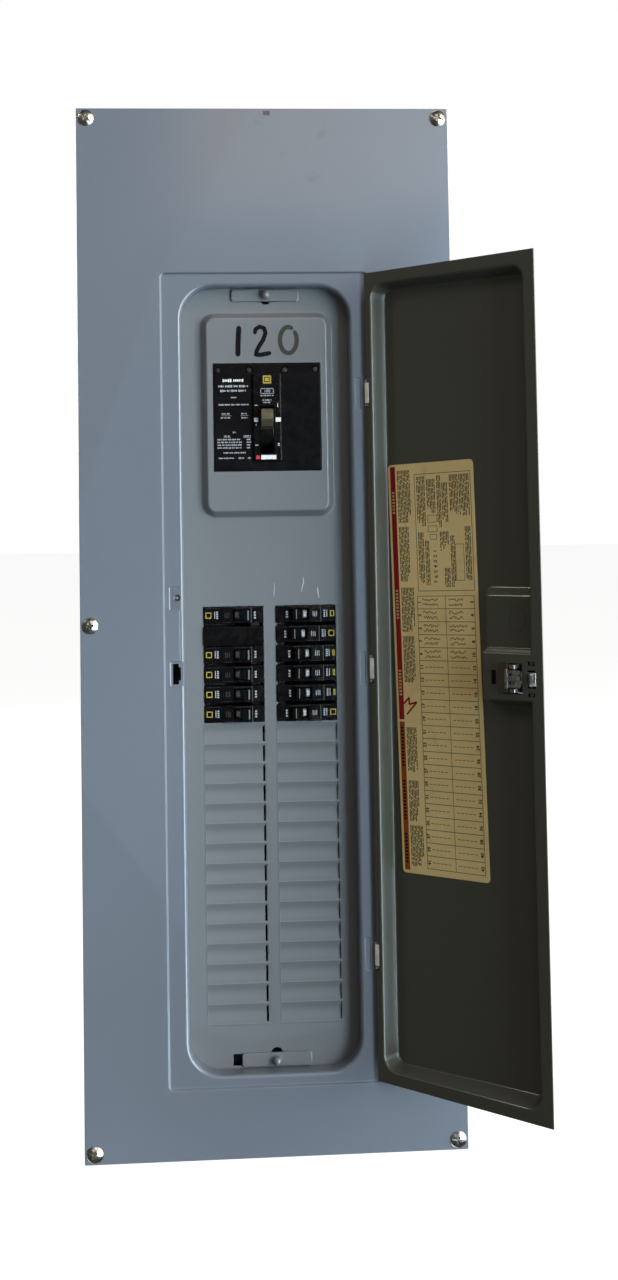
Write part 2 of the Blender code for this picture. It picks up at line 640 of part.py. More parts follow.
def build_latch(mats, hinge):
    """Slide latch: handle outside, hook bolt through the rim, housing and spring clip inside."""
    z = LATCH_Z
    bm = bmesh.new()
    door_box(bm, 150.4 * MM, 163.0 * MM, -3.4 * MM, -0.3 * MM, z - 14.4 * MM, z + 14.4 * MM)
    housing = make_object("latch_housing", bm, mats["olive_steel"], hinge)
    body = bmesh.new()
    door_box(body, 153.4 * MM, 161.0 * MM, -1 * MM, 0.9 * MM, z - 12.4 * MM, z + 12.4 * MM)
    boolean(housing, body, "UNION")

    bm = bmesh.new()
    door_box(bm, 150 * MM, 177.6 * MM, 3.2 * MM, 6.4 * MM, z - 13.0 * MM, z + 13.0 * MM)
    handle = make_object("latch_handle", bm, mats["black_case"], hinge)
    grip = bmesh.new()
    door_box(grip, 156 * MM, 160 * MM, 6 * MM, 13.5 * MM, z - 11.5 * MM, z + 11.5 * MM)
    boolean(handle, grip, "UNION")
    for end in (-1, 1):
        leg = bmesh.new()
        centre = z + end * 10.6 * MM
        door_box(leg, 166.6 * MM, 169.8 * MM, -3.6 * MM, 4 * MM, centre - 1.9 * MM, centre + 1.9 * MM)
        boolean(handle, leg, "UNION")

    bm = bmesh.new()
    door_box(bm, 161.6 * MM, 188.4 * MM, 1.6 * MM, 2.9 * MM, z - 6.0 * MM, z + 6.0 * MM)
    bolt = make_object("latch_bolt", bm, mats["chrome"], hinge)
    shank = bmesh.new()
    door_box(shank, 185.2 * MM, 187.2 * MM, -6.0 * MM, 2 * MM, z - 5.6 * MM, z + 5.6 * MM)
    boolean(bolt, shank, "UNION")
    barb = bmesh.new()
    door_box(barb, 186.0 * MM, 189.8 * MM, -6.0 * MM, -3.4 * MM, z - 5.6 * MM, z + 5.6 * MM)
    boolean(bolt, barb, "UNION")

    bm = bmesh.new()
    door_box(bm, 160.0 * MM, 162.4 * MM, -5.6 * MM, -3.8 * MM, z - 8.6 * MM, z + 8.6 * MM)
    spring = make_object("latch_spring", bm, mats["chrome"], hinge)
    for offset in (-6.4, 0, 6.4):
        leaf = bmesh.new()
        centre = z + offset * MM
        door_box(leaf, 161.5 * MM, 175.6 * MM, -5.6 * MM, -4.6 * MM, centre - 1.6 * MM, centre + 1.6 * MM)
        boolean(spring, leaf, "UNION")


# ---------------------------------------------------------------- interior
def bar_with_screws(name, mat, x, z0, z1, y_front, y_back, width, count, head_r):
    """A terminal bar with a row of round screw heads."""
    bm = bmesh.new()
    add_box(bm, x - width / 2, x + width / 2, y_front, y_back, z0, z1)
    bar = make_object(name, bm, mat)
    heads = bmesh.new()
    for i in range(count):
        z = z0 + (z1 - z0) * (i + 0.5) / count
        add_disc(heads, (x, y_front, z), head_r, 3 * MM, (0, 1, 0), 8)
    boolean(bar, heads, "UNION")


def build_interior(mats):
    web, flange = 122 * MM, PAN_PLATE_Y
    back = -BOX_SHEET - CLEARANCE
    t = BOX_SHEET
    profile = [
        (-web, back), (-web, flange), (web, flange), (web, back),
        (web - t, back), (web - t, flange + t), (-web + t, flange + t), (-web + t, back),
    ]
    make_object("interior_pan", prism(profile, "z", -440 * MM, 330 * MM), mats["galvanised"])

    bm = bmesh.new()
    add_box(bm, -32 * MM, 32 * MM, -26.5 * MM, PAN_PLATE_Y - CLEARANCE, -400 * MM, 108 * MM)
    base = make_object("bus_insulator", bm, mats["black_case"])
    ribs = bmesh.new()
    for x in (-6 * MM, 6 * MM):
        add_box(ribs, x - 0.8 * MM, x + 0.8 * MM, -30.6 * MM, -26 * MM, -398 * MM, 106 * MM)
    boolean(base, ribs, "UNION")

    for phase, x in zip("abc", BUS_X):
        bm = bmesh.new()
        add_box(bm, x - 4.6 * MM, x + 4.6 * MM, -30.2 * MM, -26.8 * MM, -385 * MM, 112 * MM)
        make_object(f"bus_bar_{phase}", bm, mats["tinned_bus"])

    neutral_back = PAN_PLATE_Y - CLEARANCE
    for side, x in (("left", -104 * MM), ("right", 104 * MM)):
        args = (x, -390 * MM, -60 * MM, -29 * MM, neutral_back, 12 * MM, 18, 4 * MM)
        bar_with_screws(f"neutral_bar_{side}", mats["aluminium"], *args)
    args = (-150 * MM, -420 * MM, -220 * MM, -14 * MM, back, 12 * MM, 12, 4 * MM)
    bar_with_screws("ground_bar", mats["aluminium"], *args)

    bm = bmesh.new()
    add_box(bm, -52 * MM, 52 * MM, -20 * MM, PAN_PLATE_Y - CLEARANCE, 286 * MM, 318 * MM)
    lugs = make_object("main_lugs", bm, mats["aluminium"])
    blocks = bmesh.new()
    for x in (-36 * MM, 0, 36 * MM):
        add_box(blocks, x - 11 * MM, x + 11 * MM, -46 * MM, -19 * MM, 288 * MM, 316 * MM)
    boolean(lugs, blocks, "UNION")


def main():
    clear_scene()
    mats = {
        "grey_paint": make_material("grey_paint", (0.19, 0.22, 0.255), 0.42),
        "galvanised": make_material("galvanised", (0.42, 0.44, 0.46), 0.45, 0.8),
        "chrome": make_material("chrome", (0.75, 0.75, 0.74), 0.18, 1.0),
        "steel": make_material("steel", (0.30, 0.31, 0.33), 0.4, 0.6),
        "olive_steel": make_material("olive_steel", (0.16, 0.14, 0.09), 0.4, 0.5),
        "black_case": make_material("black_case", (0.012, 0.012, 0.013), 0.5),
        "black_handle": make_material("black_handle", (0.010, 0.010, 0.010), 0.35),
        "red_button": make_material("red_button", (0.55, 0.01, 0.03), 0.4),
        "nylon": make_material("nylon", (0.72, 0.66, 0.58), 0.5),
        "label_paper": make_material("label_paper", (0.42, 0.35, 0.20), 0.6),
        "tinned_bus": make_material("tinned_bus", (0.62, 0.62, 0.60), 0.3, 1.0),
        "aluminium": make_material("aluminium", (0.60, 0.61, 0.62), 0.35, 1.0),
    }
    build_enclosure(mats)
    build_cover(mats)
    build_cover_screws(mats)
    build_dead_front(mats)
    build_slides(mats)
    build_main_breaker(mats)
    build_branch_breakers(mats)
    hinge = empty_at("door_hinge_axis", (HINGE_X, HINGE_Y, 0), DOOR_OPEN)
    build_door(mats, hinge)
    build_hinges(mats, hinge)
    build_latch(mats, hinge)
    build_interior(mats)


main()
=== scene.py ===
import math
import random

import bmesh
import bpy
from mathutils import Matrix, Vector


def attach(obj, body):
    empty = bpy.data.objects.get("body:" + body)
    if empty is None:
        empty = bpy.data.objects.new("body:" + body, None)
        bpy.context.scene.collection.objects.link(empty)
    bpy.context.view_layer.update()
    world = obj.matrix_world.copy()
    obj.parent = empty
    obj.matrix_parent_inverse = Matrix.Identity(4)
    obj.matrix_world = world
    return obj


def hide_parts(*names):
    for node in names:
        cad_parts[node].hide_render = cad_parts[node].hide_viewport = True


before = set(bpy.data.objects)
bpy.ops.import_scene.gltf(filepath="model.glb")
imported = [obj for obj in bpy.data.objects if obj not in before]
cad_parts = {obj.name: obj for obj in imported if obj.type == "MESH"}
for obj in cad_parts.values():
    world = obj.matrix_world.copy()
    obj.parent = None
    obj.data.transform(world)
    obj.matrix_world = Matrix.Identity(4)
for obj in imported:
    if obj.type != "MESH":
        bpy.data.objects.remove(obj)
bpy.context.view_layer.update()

# Sizes are in millimetres: x to the right, z up, and a height or depth h towards the viewer, which is -y.
MM = 0.001
FRONT, LAND, DEAD = 95.0, 92.6, 71.6  # distances in front of the wall
SHEET = 1.2  # thickness of the pressed steel
# Areas are (left, right, bottom, top): the land pressed round the door opening, and the opening.
LAND_RECT = (-100.4, 97.6, -433.4, 338.0)
OPENING = (-82.0, 81.0, -423.4, 326.4)
POLE, POLES_TOP, POLES, FILLED = 19.05, 17.7, 21, 6  # pitch and top of the spaces, all of them, those in use
WINDOWS = {"left": (-64.3, -5.5), "right": (6.1, 64.9)}
HINGES = {"top": 221, "middle": -44, "bottom": -315}  # heights
HINGE = (97.2, -95.6)  # the axis in x and y
DOOR_TURN = math.radians(134)
DOOR_REACH = 2.7  # from the hinge axis to the rim's inner face, closed


# ------------------------------------------------------------ materials
def feed(tree, socket, value):
    """Links a socket to another node's output, or sets its value."""
    if isinstance(value, bpy.types.NodeSocket):
        tree.links.new(value, socket)
    else:
        socket.default_value = value


def add_node(tree, kind, links, **values):
    node = tree.nodes.new(kind)
    for key, value in values.items():
        setattr(node, key, value)
    for key, value in links.items():
        feed(tree, node.inputs[key], value)
    return node


def start_material(name, roughness, metallic=0.0, specular=0.5, coat=0.0):
    mat = bpy.data.materials.new(name)
    mat.use_nodes = True
    tree = mat.node_tree
    shader = tree.nodes["Principled BSDF"]
    shader.inputs["Roughness"].default_value = roughness
    shader.inputs["Metallic"].default_value = metallic
    shader.inputs["Specular IOR Level"].default_value = specular
    shader.inputs["Coat Weight"].default_value = coat
    coord = add_node(tree, "ShaderNodeTexCoord", {}).outputs["Object"]
    return mat, tree, shader, coord


def noise(tree, coord, scale, detail=3.0, roughness=0.55, distortion=0.0):
    links = {"Vector": coord, "Scale": scale, "Detail": detail, "Roughness": roughness}
    links["Distortion"] = distortion
    return add_node(tree, "ShaderNodeTexNoise", links).outputs["Fac"]


def ramp(tree, fac, low, high, a=0.0, b=1.0):
    """Maps fac from low..high to a..b, eased at both ends."""
    links = {"Value": fac, "From Min": low, "From Max": high, "To Min": a, "To Max": b}
    return add_node(tree, "ShaderNodeMapRange", links, interpolation_type="SMOOTHSTEP").outputs["Result"]


def mix(tree, fac, a, b):
    """Blends from a to b, each a colour or a socket."""
    node = tree.nodes.new("ShaderNodeMix")
    node.data_type = "RGBA"
    for index, value in ((0, fac), (6, a), (7, b)):
        feed(tree, node.inputs[index], (*value, 1.0) if isinstance(value, tuple) else value)
    return node.outputs[2]


def maths(tree, operation, a, b):
    node = tree.nodes.new("ShaderNodeMath")
    node.operation = operation
    feed(tree, node.inputs[0], a)
    feed(tree, node.inputs[1], b)
    return node.outputs[0]


def band(tree, coord, axis, centre, half, soft):
    """1 within half of centre along an axis, fading out over soft; metres."""
    split = add_node(tree, "ShaderNodeSeparateXYZ", {"Vector": coord}).outputs[axis]
    away = maths(tree, "ABSOLUTE", maths(tree, "SUBTRACT", split, centre), 0.0)
    return ramp(tree, away, half + soft, half)


def spot(tree, coord, across, up):
    """1 at one place on the front: across and up are each (centre, half, soft)."""
    return maths(tree, "MULTIPLY", band(tree, coord, "X", *across), band(tree, coord, "Z", *up))


def toned(base, factor):
    return tuple(min(1.0, c * factor) for c in base)


def finish(tree, shader, colour, rough, height, strength, distance):
    """Connects a colour, a roughness and a bump to the shader."""
    tree.links.new(colour, shader.inputs["Base Color"])
    if rough is not None:
        tree.links.new(rough, shader.inputs["Roughness"])
    bump = add_node(tree, "ShaderNodeBump", {"Height": height, "Strength": strength, "Distance": distance})
    tree.links.new(bump.outputs["Normal"], shader.inputs["Normal"])


def grey_enamel(name, base, roughness, smudges=False, coat=0.62):
    """Baked enamel: orange peel and faint mottling, with handling marks and a scuff if wanted."""
    mat, tree, shader, coord = start_material(name, roughness, specular=0.2, coat=coat)
    shader.inputs["Coat Roughness"].default_value = 0.13
    shader.inputs["Coat IOR"].default_value = 1.62
    cloud = ramp(tree, noise(tree, coord, 2.6, 2.0), 0.35, 0.65)
    colour = mix(tree, cloud, toned(base, 0.965), toned(base, 1.03))
    mottle = ramp(tree, noise(tree, coord, 34.0, 4.0), 0.35, 0.7, 0.0, 0.035)
    colour = mix(tree, mottle, colour, toned(base, 0.8))
    if smudges:
        near = spot(tree, coord, (0.03, 0.03, 0.06), (0.455, 0.03, 0.03))
        marks = ramp(tree, noise(tree, coord, 48.0, 4.0, 0.6), 0.58, 0.74)
        smear = maths(tree, "MULTIPLY", maths(tree, "MULTIPLY", near, marks), 0.26)
        colour = mix(tree, smear, colour, toned(base, 0.62))
        scuff = spot(tree, coord, (0.0035, 0.0025, 0.0015), (0.4955, 0.0016, 0.0012))
        colour = mix(tree, maths(tree, "MULTIPLY", scuff, 0.8), colour, (0.03, 0.03, 0.03))
    rough = ramp(tree, noise(tree, coord, 11.0), 0.3, 0.75, roughness, roughness + 0.04)
    finish(tree, shader, colour, rough, noise(tree, coord, 620.0, 2.0), 0.06, 0.0005)
    return mat


def metal(name, base, roughness, bump=0.05):
    mat, tree, shader, coord = start_material(name, roughness, metallic=1.0)
    colour = mix(tree, ramp(tree, noise(tree, coord, 40.0, 4.0), 0.3, 0.7), toned(base, 0.88), base)
    rough = ramp(tree, noise(tree, coord, 160.0), 0.3, 0.7, roughness - 0.05, roughness + 0.10)
    finish(tree, shader, colour, rough, noise(tree, coord, 900.0, 2.0), bump, 0.0003)
    return mat


def galvanised(name):
    """Zinc spangle: crystal cells of slightly different tone."""
    mat, tree, shader, coord = start_material(name, 0.42, metallic=0.55)
    cells = add_node(tree, "ShaderNodeTexVoronoi", {"Vector": coord, "Scale": 95.0})
    tone = add_node(tree, "ShaderNodeRGBToBW", {"Color": cells.outputs["Color"]}).outputs["Val"]
    colour = mix(tree, ramp(tree, tone, 0.1, 0.9), (0.43, 0.45, 0.47), (0.54, 0.56, 0.58))
    dull = ramp(tree, noise(tree, coord, 9.0, 4.0), 0.5, 0.75, 0.0, 0.30)
    colour = mix(tree, dull, colour, (0.38, 0.39, 0.40))
    rough = ramp(tree, tone, 0.1, 0.9, 0.34, 0.52)
    finish(tree, shader, colour, rough, cells.outputs["Distance"], 0.05, 0.0004)
    return mat


def plastic(name, base, roughness, texture=700.0, bump=0.12, dust=0.0, specular=0.5):
    """Moulded plastic: fine spark texture and a little tone change, with dust if wanted."""
    mat, tree, shader, coord = start_material(name, roughness, specular=specular)
    cloud = ramp(tree, noise(tree, coord, 60.0), 0.3, 0.7)
    colour = mix(tree, cloud, toned(base, 0.8), toned(base, 1.15))
    if dust:
        specks = ramp(tree, noise(tree, coord, 1500.0, 2.0), 0.62, 0.72, 0.0, dust)
        colour = mix(tree, specks, colour, (0.30, 0.29, 0.27))
    smooth, dull = max(0.05, roughness - 0.06), roughness + 0.08
    rough = ramp(tree, noise(tree, coord, 180.0, 2.0), 0.3, 0.7, smooth, dull)
    finish(tree, shader, colour, rough, noise(tree, coord, texture, 2.0), bump, 0.0004)
    return mat


def aged_paper(name):
    """A tan label under clear film: yellowed, with stains that run down it."""
    mat, tree, shader, coord = start_material(name, 0.38, specular=0.4)
    cloud = ramp(tree, noise(tree, coord, 7.0), 0.3, 0.7)
    colour = mix(tree, cloud, (0.82, 0.63, 0.285), (0.94, 0.745, 0.36))
    stain = ramp(tree, noise(tree, coord, 26.0, 5.0, 0.6, 0.8), 0.55, 0.8, 0.0, 0.35)
    colour = mix(tree, stain, colour, (0.42, 0.33, 0.15))
    fibre = ramp(tree, noise(tree, coord, 1200.0, 2.0), 0.35, 0.7, 0.0, 0.12)
    colour = mix(tree, fibre, colour, (0.40, 0.31, 0.16))
    finish(tree, shader, colour, None, noise(tree, coord, 90.0, 2.0), 0.08, 0.0006)
    return mat


def ink(name, base, roughness=0.45, wear=0.25, specular=0.4):
    """Printed or painted marks, a little worn."""
    mat, tree, shader, coord = start_material(name, roughness, specular=specular)
    worn = ramp(tree, noise(tree, coord, 900.0), 0.45, 0.7, 0.0, wear)
    colour = mix(tree, worn, base, toned(base, 0.45))
    finish(tree, shader, colour, None, noise(tree, coord, 1800.0, 2.0), 0.05, 0.0002)
    return mat


PAINT = (0.150, 0.175, 0.215)
MATS = {
    "cover": grey_enamel("cover_enamel", PAINT, 0.31, smudges=True),
    "dead": grey_enamel("dead_front_enamel", (0.172, 0.188, 0.205), 0.33),
    "door": grey_enamel("door_enamel", PAINT, 0.31),
    # The door's inside is a darker copy of the door's grey enamel: painted shade on the side that faces away
    # from the main light.
    "door_in": grey_enamel("door_inside_shaded_enamel", (0.082, 0.082, 0.066), 0.36, coat=0.5),
    "galvanised": galvanised("galvanised"),
    "zinc": metal("bright_zinc", (0.58, 0.57, 0.54), 0.27, 0.09),
    "steel": metal("spring_steel", (0.62, 0.62, 0.60), 0.28),
    "brown": metal("passivated_steel", (0.20, 0.165, 0.10), 0.42),
    "dark_steel": metal("blackened_steel", (0.085, 0.082, 0.075), 0.38),
    "tinned": metal("tinned_bus", (0.72, 0.72, 0.70), 0.30),
    "aluminium": metal("aluminium", (0.68, 0.69, 0.70), 0.34),
    "black": plastic("black_phenolic", (0.0045, 0.0045, 0.0055), 0.24, specular=0.25, bump=0.03),
    "black_face": plastic("black_face", (0.0042, 0.0042, 0.0054), 0.34, 2600.0, 0.02, specular=0.12),
    "handle": plastic("handle_plastic", (0.0050, 0.0050, 0.0055), 0.20, bump=0.03, specular=0.35),
    # A dull grey that stands in for light: painted highlight lines on the black breaker edges, and painted
    # shade on the left column's plates and faint print.
    "worn_edge": plastic("worn_edge", (0.040, 0.040, 0.044), 0.30),
    # Near-black: the main breaker's own dark inside under its handle slot, and a plate that stands in for the
    # shadow behind the strike slot.
    "dark": plastic("dark_inside_and_painted_shadow", (0.006, 0.006, 0.006), 0.7),
    "tan": plastic("tan_handle", (0.135, 0.118, 0.070), 0.45, 1200.0, dust=0.25),
    # This lighter grey on the right column's rating plates is a painted highlight; the same plates on the
    # left use the darker grey as painted shade.
    "plate": plastic("rating_plate", (0.150, 0.160, 0.180), 0.35),
    "red": plastic("red_button", (0.60, 0.02, 0.055), 0.40),
    "nylon": plastic("natural_nylon", (0.92, 0.89, 0.82), 0.42, bump=0.06),
    "paper": aged_paper("label_paper"),
    "white_ink": ink("white_ink", (0.78, 0.80, 0.82)),
    "print_ink": ink("print_ink", (0.40, 0.43, 0.48)),
    "grey_ink": ink("grey_ink", (0.40, 0.42, 0.46)),
    "amber_ink": ink("amber_ink", (0.40, 0.31, 0.045)),
    "scratch": ink("scratched_paint", (0.62, 0.64, 0.66)),
    "pale_ink": ink("pale_ink", (0.52, 0.40, 0.20), 0.6),
    "black_ink": ink("black_ink", (0.010, 0.008, 0.006), 0.6, 0.1, 0.15),
    "red_ink": ink("red_ink", (0.30, 0.010, 0.014), 0.6, 0.15, 0.2),
    "orange_ink": ink("orange_ink", (0.33, 0.070, 0.010), 0.6, 0.35, 0.2),
    "marker": ink("marker_ink", (0.004, 0.004, 0.005), 0.45, 0.1, 0.12),
    "marker_thin": ink("thin_marker_ink", (0.052, 0.050, 0.043), 0.45, 0.6, 0.15),
}


# ------------------------------------------------------------ outlines
def ease(t):
    """0 to 1 with both ends level."""
    t = max(0.0, min(1.0, t))
    return t * t * (3 - 2 * t)


def bend(t, k=0.28):
    """A straight ramp from 0 to 1 whose two ends are rounded over k of its length."""
    t = max(0.0, min(1.0, t))
    top = 1.0 / (1.0 - k)
    if t < k:
        return top * t * t / (2 * k)
    if t > 1 - k:
        return 1 - top * (1 - t) ** 2 / (2 * k)
    return top * (t - k / 2)


def sdf(x, z, area, r):
    """Signed distance to a rounded rectangle, negative inside."""
    x0, x1, z0, z1 = area
    qx = abs(x - (x0 + x1) / 2) - (x1 - x0) / 2 + r
    qz = abs(z - (z0 + z1) / 2) - (z1 - z0) / 2 + r
    return math.hypot(max(qx, 0), max(qz, 0)) + min(max(qx, qz), 0) - r


def rounded(area, r, n=6):
    """Outline of a rounded rectangle as (x, z) points, n steps to a corner."""
    x0, x1, z0, z1 = grown(area, -r)
    points = []
    for cx, cz, start in ((x0, z0, 180), (x1, z0, 270), (x1, z1, 0), (x0, z1, 90)):
        for i in range(n + 1):
            a = math.radians(start + 90 * i / n)
            points.append((cx + r * math.cos(a), cz + r * math.sin(a)))
    return points


def corners(x0, x1, z0, z1):
    return [(x0, z0), (x1, z0), (x1, z1), (x0, z1)]


def grown(area, by):
    return (area[0] - by, area[1] + by, area[2] - by, area[3] + by)


def inset(points, by):
    """A polygon moved inwards (counter-clockwise points)."""
    out = []
    count = len(points)
    for i in range(count):
        p, q, s = Vector(points[i - 1]), Vector(points[i]), Vector(points[(i + 1) % count])
        d1, d2 = (q - p).normalized(), (s - q).normalized()
        n1, n2 = Vector((-d1.y, d1.x)), Vector((-d2.y, d2.x))
        both = (n1 + n2).normalized()
        step = by / max(0.5, both.dot(n1))
        out.append(tuple(q + both * step))
    return out


def area_sign(points):
    return sum(a[0] * b[1] - b[0] * a[1] for a, b in zip(points, points[1:] + points[:1]))


def front_place(x, h, z):
    return (x, -h, z)


def as_given(a, b, c):
    return (a, b, c)


# ------------------------------------------------------------ solids
def skin(bm, rings, closed=False):
    """Adds a solid skinned over rings of equal count."""
    loops = [[bm.verts.new(p) for p in ring] for ring in rings]
    pairs = list(zip(loops, loops[1:])) + ([(loops[-1], loops[0])] if closed else [])
    count = len(loops[0])
    for a, b in pairs:
        for i in range(count):
            j = (i + 1) % count
            bm.faces.new((a[i], a[j], b[j], b[i]))
    if not closed:
        bm.faces.new(loops[0])
        bm.faces.new(loops[-1])
    return bm


def stack(bm, spots, n=6, place=front_place, closed=False):
    """Adds a solid skinned over rounded rectangles, each given as (area, radius, height)."""
    return skin(bm, [[place(x, h, z) for x, z in rounded(area, r, n)] for area, r, h in spots], closed)


def slab(bm, outline, low, high, place=front_place, by=0.0):
    """Adds a flat solid between two heights, its top moved in by a little if wanted."""
    top = inset(outline, by) if by else outline
    return skin(bm, [[place(x, low, z) for x, z in outline], [place(x, high, z) for x, z in top]])


def box(bm, x0, x1, y0, y1, z0, z1, r=0.0, seg=2):
    """Adds a box with edges rounded to r."""
    place = Matrix.Translation(((x0 + x1) / 2, (y0 + y1) / 2, (z0 + z1) / 2))
    made = bmesh.ops.create_cube(bm, size=1, matrix=place @ Matrix.Diagonal((x1 - x0, y1 - y0, z1 - z0, 1)))
    if r > 0:
        edges = list(dict.fromkeys(e for v in made["verts"] for e in v.link_edges))
        bmesh.ops.bevel(bm, geom=edges, offset=r, segments=seg, profile=0.5, affect="EDGES")
    return bm


def disc(bm, centre, radius, depth, axis, n=24):
    turn = Vector((0, 0, 1)).rotation_difference(Vector(axis)).to_matrix().to_4x4()
    place = Matrix.Translation(centre) @ turn
    size = {"radius1": radius, "radius2": radius, "depth": depth}
    bmesh.ops.create_cone(bm, cap_ends=True, segments=n, matrix=place, **size)
    return bm


def lathe(bm, profile, centre, n=32):
    """A turned solid about an axis along Y; profile is (radius, y), on the axis at both ends."""
    cx, cz = centre
    first = bm.verts.new((cx, profile[0][1], cz))
    last = bm.verts.new((cx, profile[-1][1], cz))
    loops = []
    for radius, y in profile[1:-1]:
        turns = [2 * math.pi * i / n for i in range(n)]
        loops.append([bm.verts.new((cx + radius * math.cos(a), y, cz + radius * math.sin(a))) for a in turns])
    for i in range(n):
        j = (i + 1) % n
        bm.faces.new((first, loops[0][i], loops[0][j]))
        bm.faces.new((last, loops[-1][j], loops[-1][i]))
        for a, b in zip(loops, loops[1:]):
            bm.faces.new((a[i], a[j], b[j], b[i]))
    return bm


def bar(bm, points, start, end, r, place=as_given):
    """Adds a polygon extruded from start to end with rounded end edges. place(a, b, c) gives the vertex."""
    if area_sign(points) < 0:
        points = points[::-1]
    small, mid = inset(points, r), inset(points, r * 0.3)
    rings = [(small, start), (mid, start + r * 0.3), (points, start + r)]
    rings += [(points, end - r), (mid, end - r * 0.3), (small, end)]
    return skin(bm, [[place(a, b, c) for a, b in ring] for ring, c in rings])


def pad(bm, area, r, base, rise, slope, n=6):
    """Adds a low raised pad with soft edges, rooted a little below the surface at base."""
    spots = [(grown(area, slope), r + slope, base - 0.3)]
    for t in (0.0, 0.12, 0.3, 0.5, 0.7, 0.88, 1.0):
        spots.append((grown(area, slope * (1 - t)), r + slope * (1 - t), base + rise * bend(t)))
    return stack(bm, spots, n)


def lines(start, end, coarse, zones, exact):
    """Grid lines: coarse everywhere, finer in the zones (from, to, step), and exactly at the given places."""
    keep = sorted({start, end, *[e for e in exact if start < e < end]})
    out = list(keep)
    for a, b, step in zones:
        a, b = max(a, start), min(b, end)
        count = max(1, round((b - a) / step))
        fine = [a + (b - a) * i / count for i in range(count + 1)]
        out += [v for v in fine if all(abs(v - k) > 0.25 for k in keep)]
    count = max(1, round((end - start) / coarse))
    for v in [start + (end - start) * i / count for i in range(count + 1)]:
        if not any(a - coarse * 0.4 < v < b + coarse * 0.4 for a, b, _ in zones):
            if all(abs(v - k) > 0.8 for k in keep):
                out.append(v)
    out = sorted(set(out))
    return [v for i, v in enumerate(out) if i == 0 or v - out[i - 1] > 1e-4]


def sheet_grid(us, zs, height, thick, holes, place):
    """A pressed sheet over a grid: front at height, back thick behind it, with rectangular holes."""
    bm = bmesh.new()
    solid, front_back = set(), {}
    for j in range(len(zs) - 1):
        for i in range(len(us) - 1):
            u, z = (us[i] + us[i + 1]) / 2, (zs[j] + zs[j + 1]) / 2
            if not any(u0 < u < u1 and z0 < z < z1 for u0, u1, z0, z1 in holes):
                solid.add((i, j))

    def corner(i, j):
        if (i, j) not in front_back:
            h = height(us[i], zs[j])
            front_back[i, j] = [bm.verts.new(place(us[i], level, zs[j])) for level in (h, h - thick)]
        return front_back[i, j]

    for i, j in sorted(solid, key=lambda cell: (cell[1], cell[0])):
        around = [corner(i, j), corner(i + 1, j), corner(i + 1, j + 1), corner(i, j + 1)]
        bm.faces.new([c[0] for c in around]).material_index = 0
        bm.faces.new([c[1] for c in reversed(around)]).material_index = 1
        for k, (di, dj) in enumerate(((0, -1), (1, 0), (0, 1), (-1, 0))):
            if (i + di, j + dj) not in solid:
                a, b = around[k], around[(k + 1) % 4]
                bm.faces.new((a[0], a[1], b[1], b[0])).material_index = 0
    return bm


# ------------------------------------------------------------ pieces
def add_object(name, data):
    obj = bpy.data.objects.new(name, data)
    bpy.context.scene.collection.objects.link(obj)
    return obj


def metre_mesh(name, bm):
    """Turns a millimetre bmesh into a mesh in metres with its normals outwards."""
    bmesh.ops.recalc_face_normals(bm, faces=bm.faces)
    mesh = bpy.data.meshes.new(name)
    bm.to_mesh(mesh)
    bm.free()
    mesh.transform(Matrix.Scale(MM, 4))
    return mesh


def applied(obj):
    """The object's mesh with its modifiers applied."""
    bpy.context.view_layer.update()
    return bpy.data.meshes.new_from_object(obj.evaluated_get(bpy.context.evaluated_depsgraph_get()))


def smooth(obj, angle, weighted=True):
    obj.data.shade_smooth()
    obj.data.set_sharp_from_angle(angle=math.radians(angle))
    if weighted:
        obj.modifiers.new("normals", "WEIGHTED_NORMAL").keep_sharp = True


def make(name, bm, mats, replaces=(), slot=None, body="cabinet", angle=34, matrix=None, weighted=True):
    """Turns a millimetre bmesh into a piece that rides on a body."""
    if matrix is not None:
        bm.transform(matrix)
    obj = add_object(name, metre_mesh(name, bm))
    for mat in mats if isinstance(mats, list) else [mats]:
        obj.data.materials.append(MATS[mat])
    smooth(obj, angle, weighted)
    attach(obj, body)
    if replaces:
        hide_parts(*replaces)
    return obj


def cut(obj, *tools, matrix=None):
    """Cuts the millimetre bmeshes from obj for good, one after another."""
    obj.modifiers.clear()
    for bm in tools:
        if matrix is not None:
            bm.transform(matrix)
        tool = add_object("cutter", metre_mesh("cutter", bm))
        mod = obj.modifiers.new("cut", "BOOLEAN")
        mod.solver = "EXACT"
        mod.object = tool
        done = applied(obj)
        obj.modifiers.remove(mod)
        obj.data = done
        bpy.data.objects.remove(tool)
    smooth(obj, 34)


# ------------------------------------------------------------ printed marks
def printed(name, bm, mat, slot="black_case", body="cabinet"):
    """A piece of thin flat marks."""
    make(name, bm, mat, slot=slot, body=body, weighted=False)


def print_bar(bm, x0, x1, z0, z1, h, place=front_place, lift=0.06):
    """Adds a flat printed mark on the surface at height h."""
    slab(bm, corners(x0, x1, z0, z1), h - 0.05, h + lift, place)


def words(bm, x0, x1, z, size, h, rng):
    """Adds a line of unreadable print: word-length bars broken into letter-width dashes."""
    x = x0
    while x < x1 - size * 0.5:
        for _ in range(rng.randint(2, 6)):
            wide = size * rng.uniform(0.32, 0.55)
            if x + wide > x1:
                break
            tall = size * rng.choice((0.72, 0.72, 1.0))
            print_bar(bm, x, x + wide, z - tall / 2, z + tall / 2, h)
            x += wide + size * 0.16
        x += size * 0.45


def add_mesh(bm, other):
    temp = bpy.data.meshes.new("part")
    other.to_mesh(temp)
    other.free()
    bm.from_mesh(temp)
    bpy.data.meshes.remove(temp)


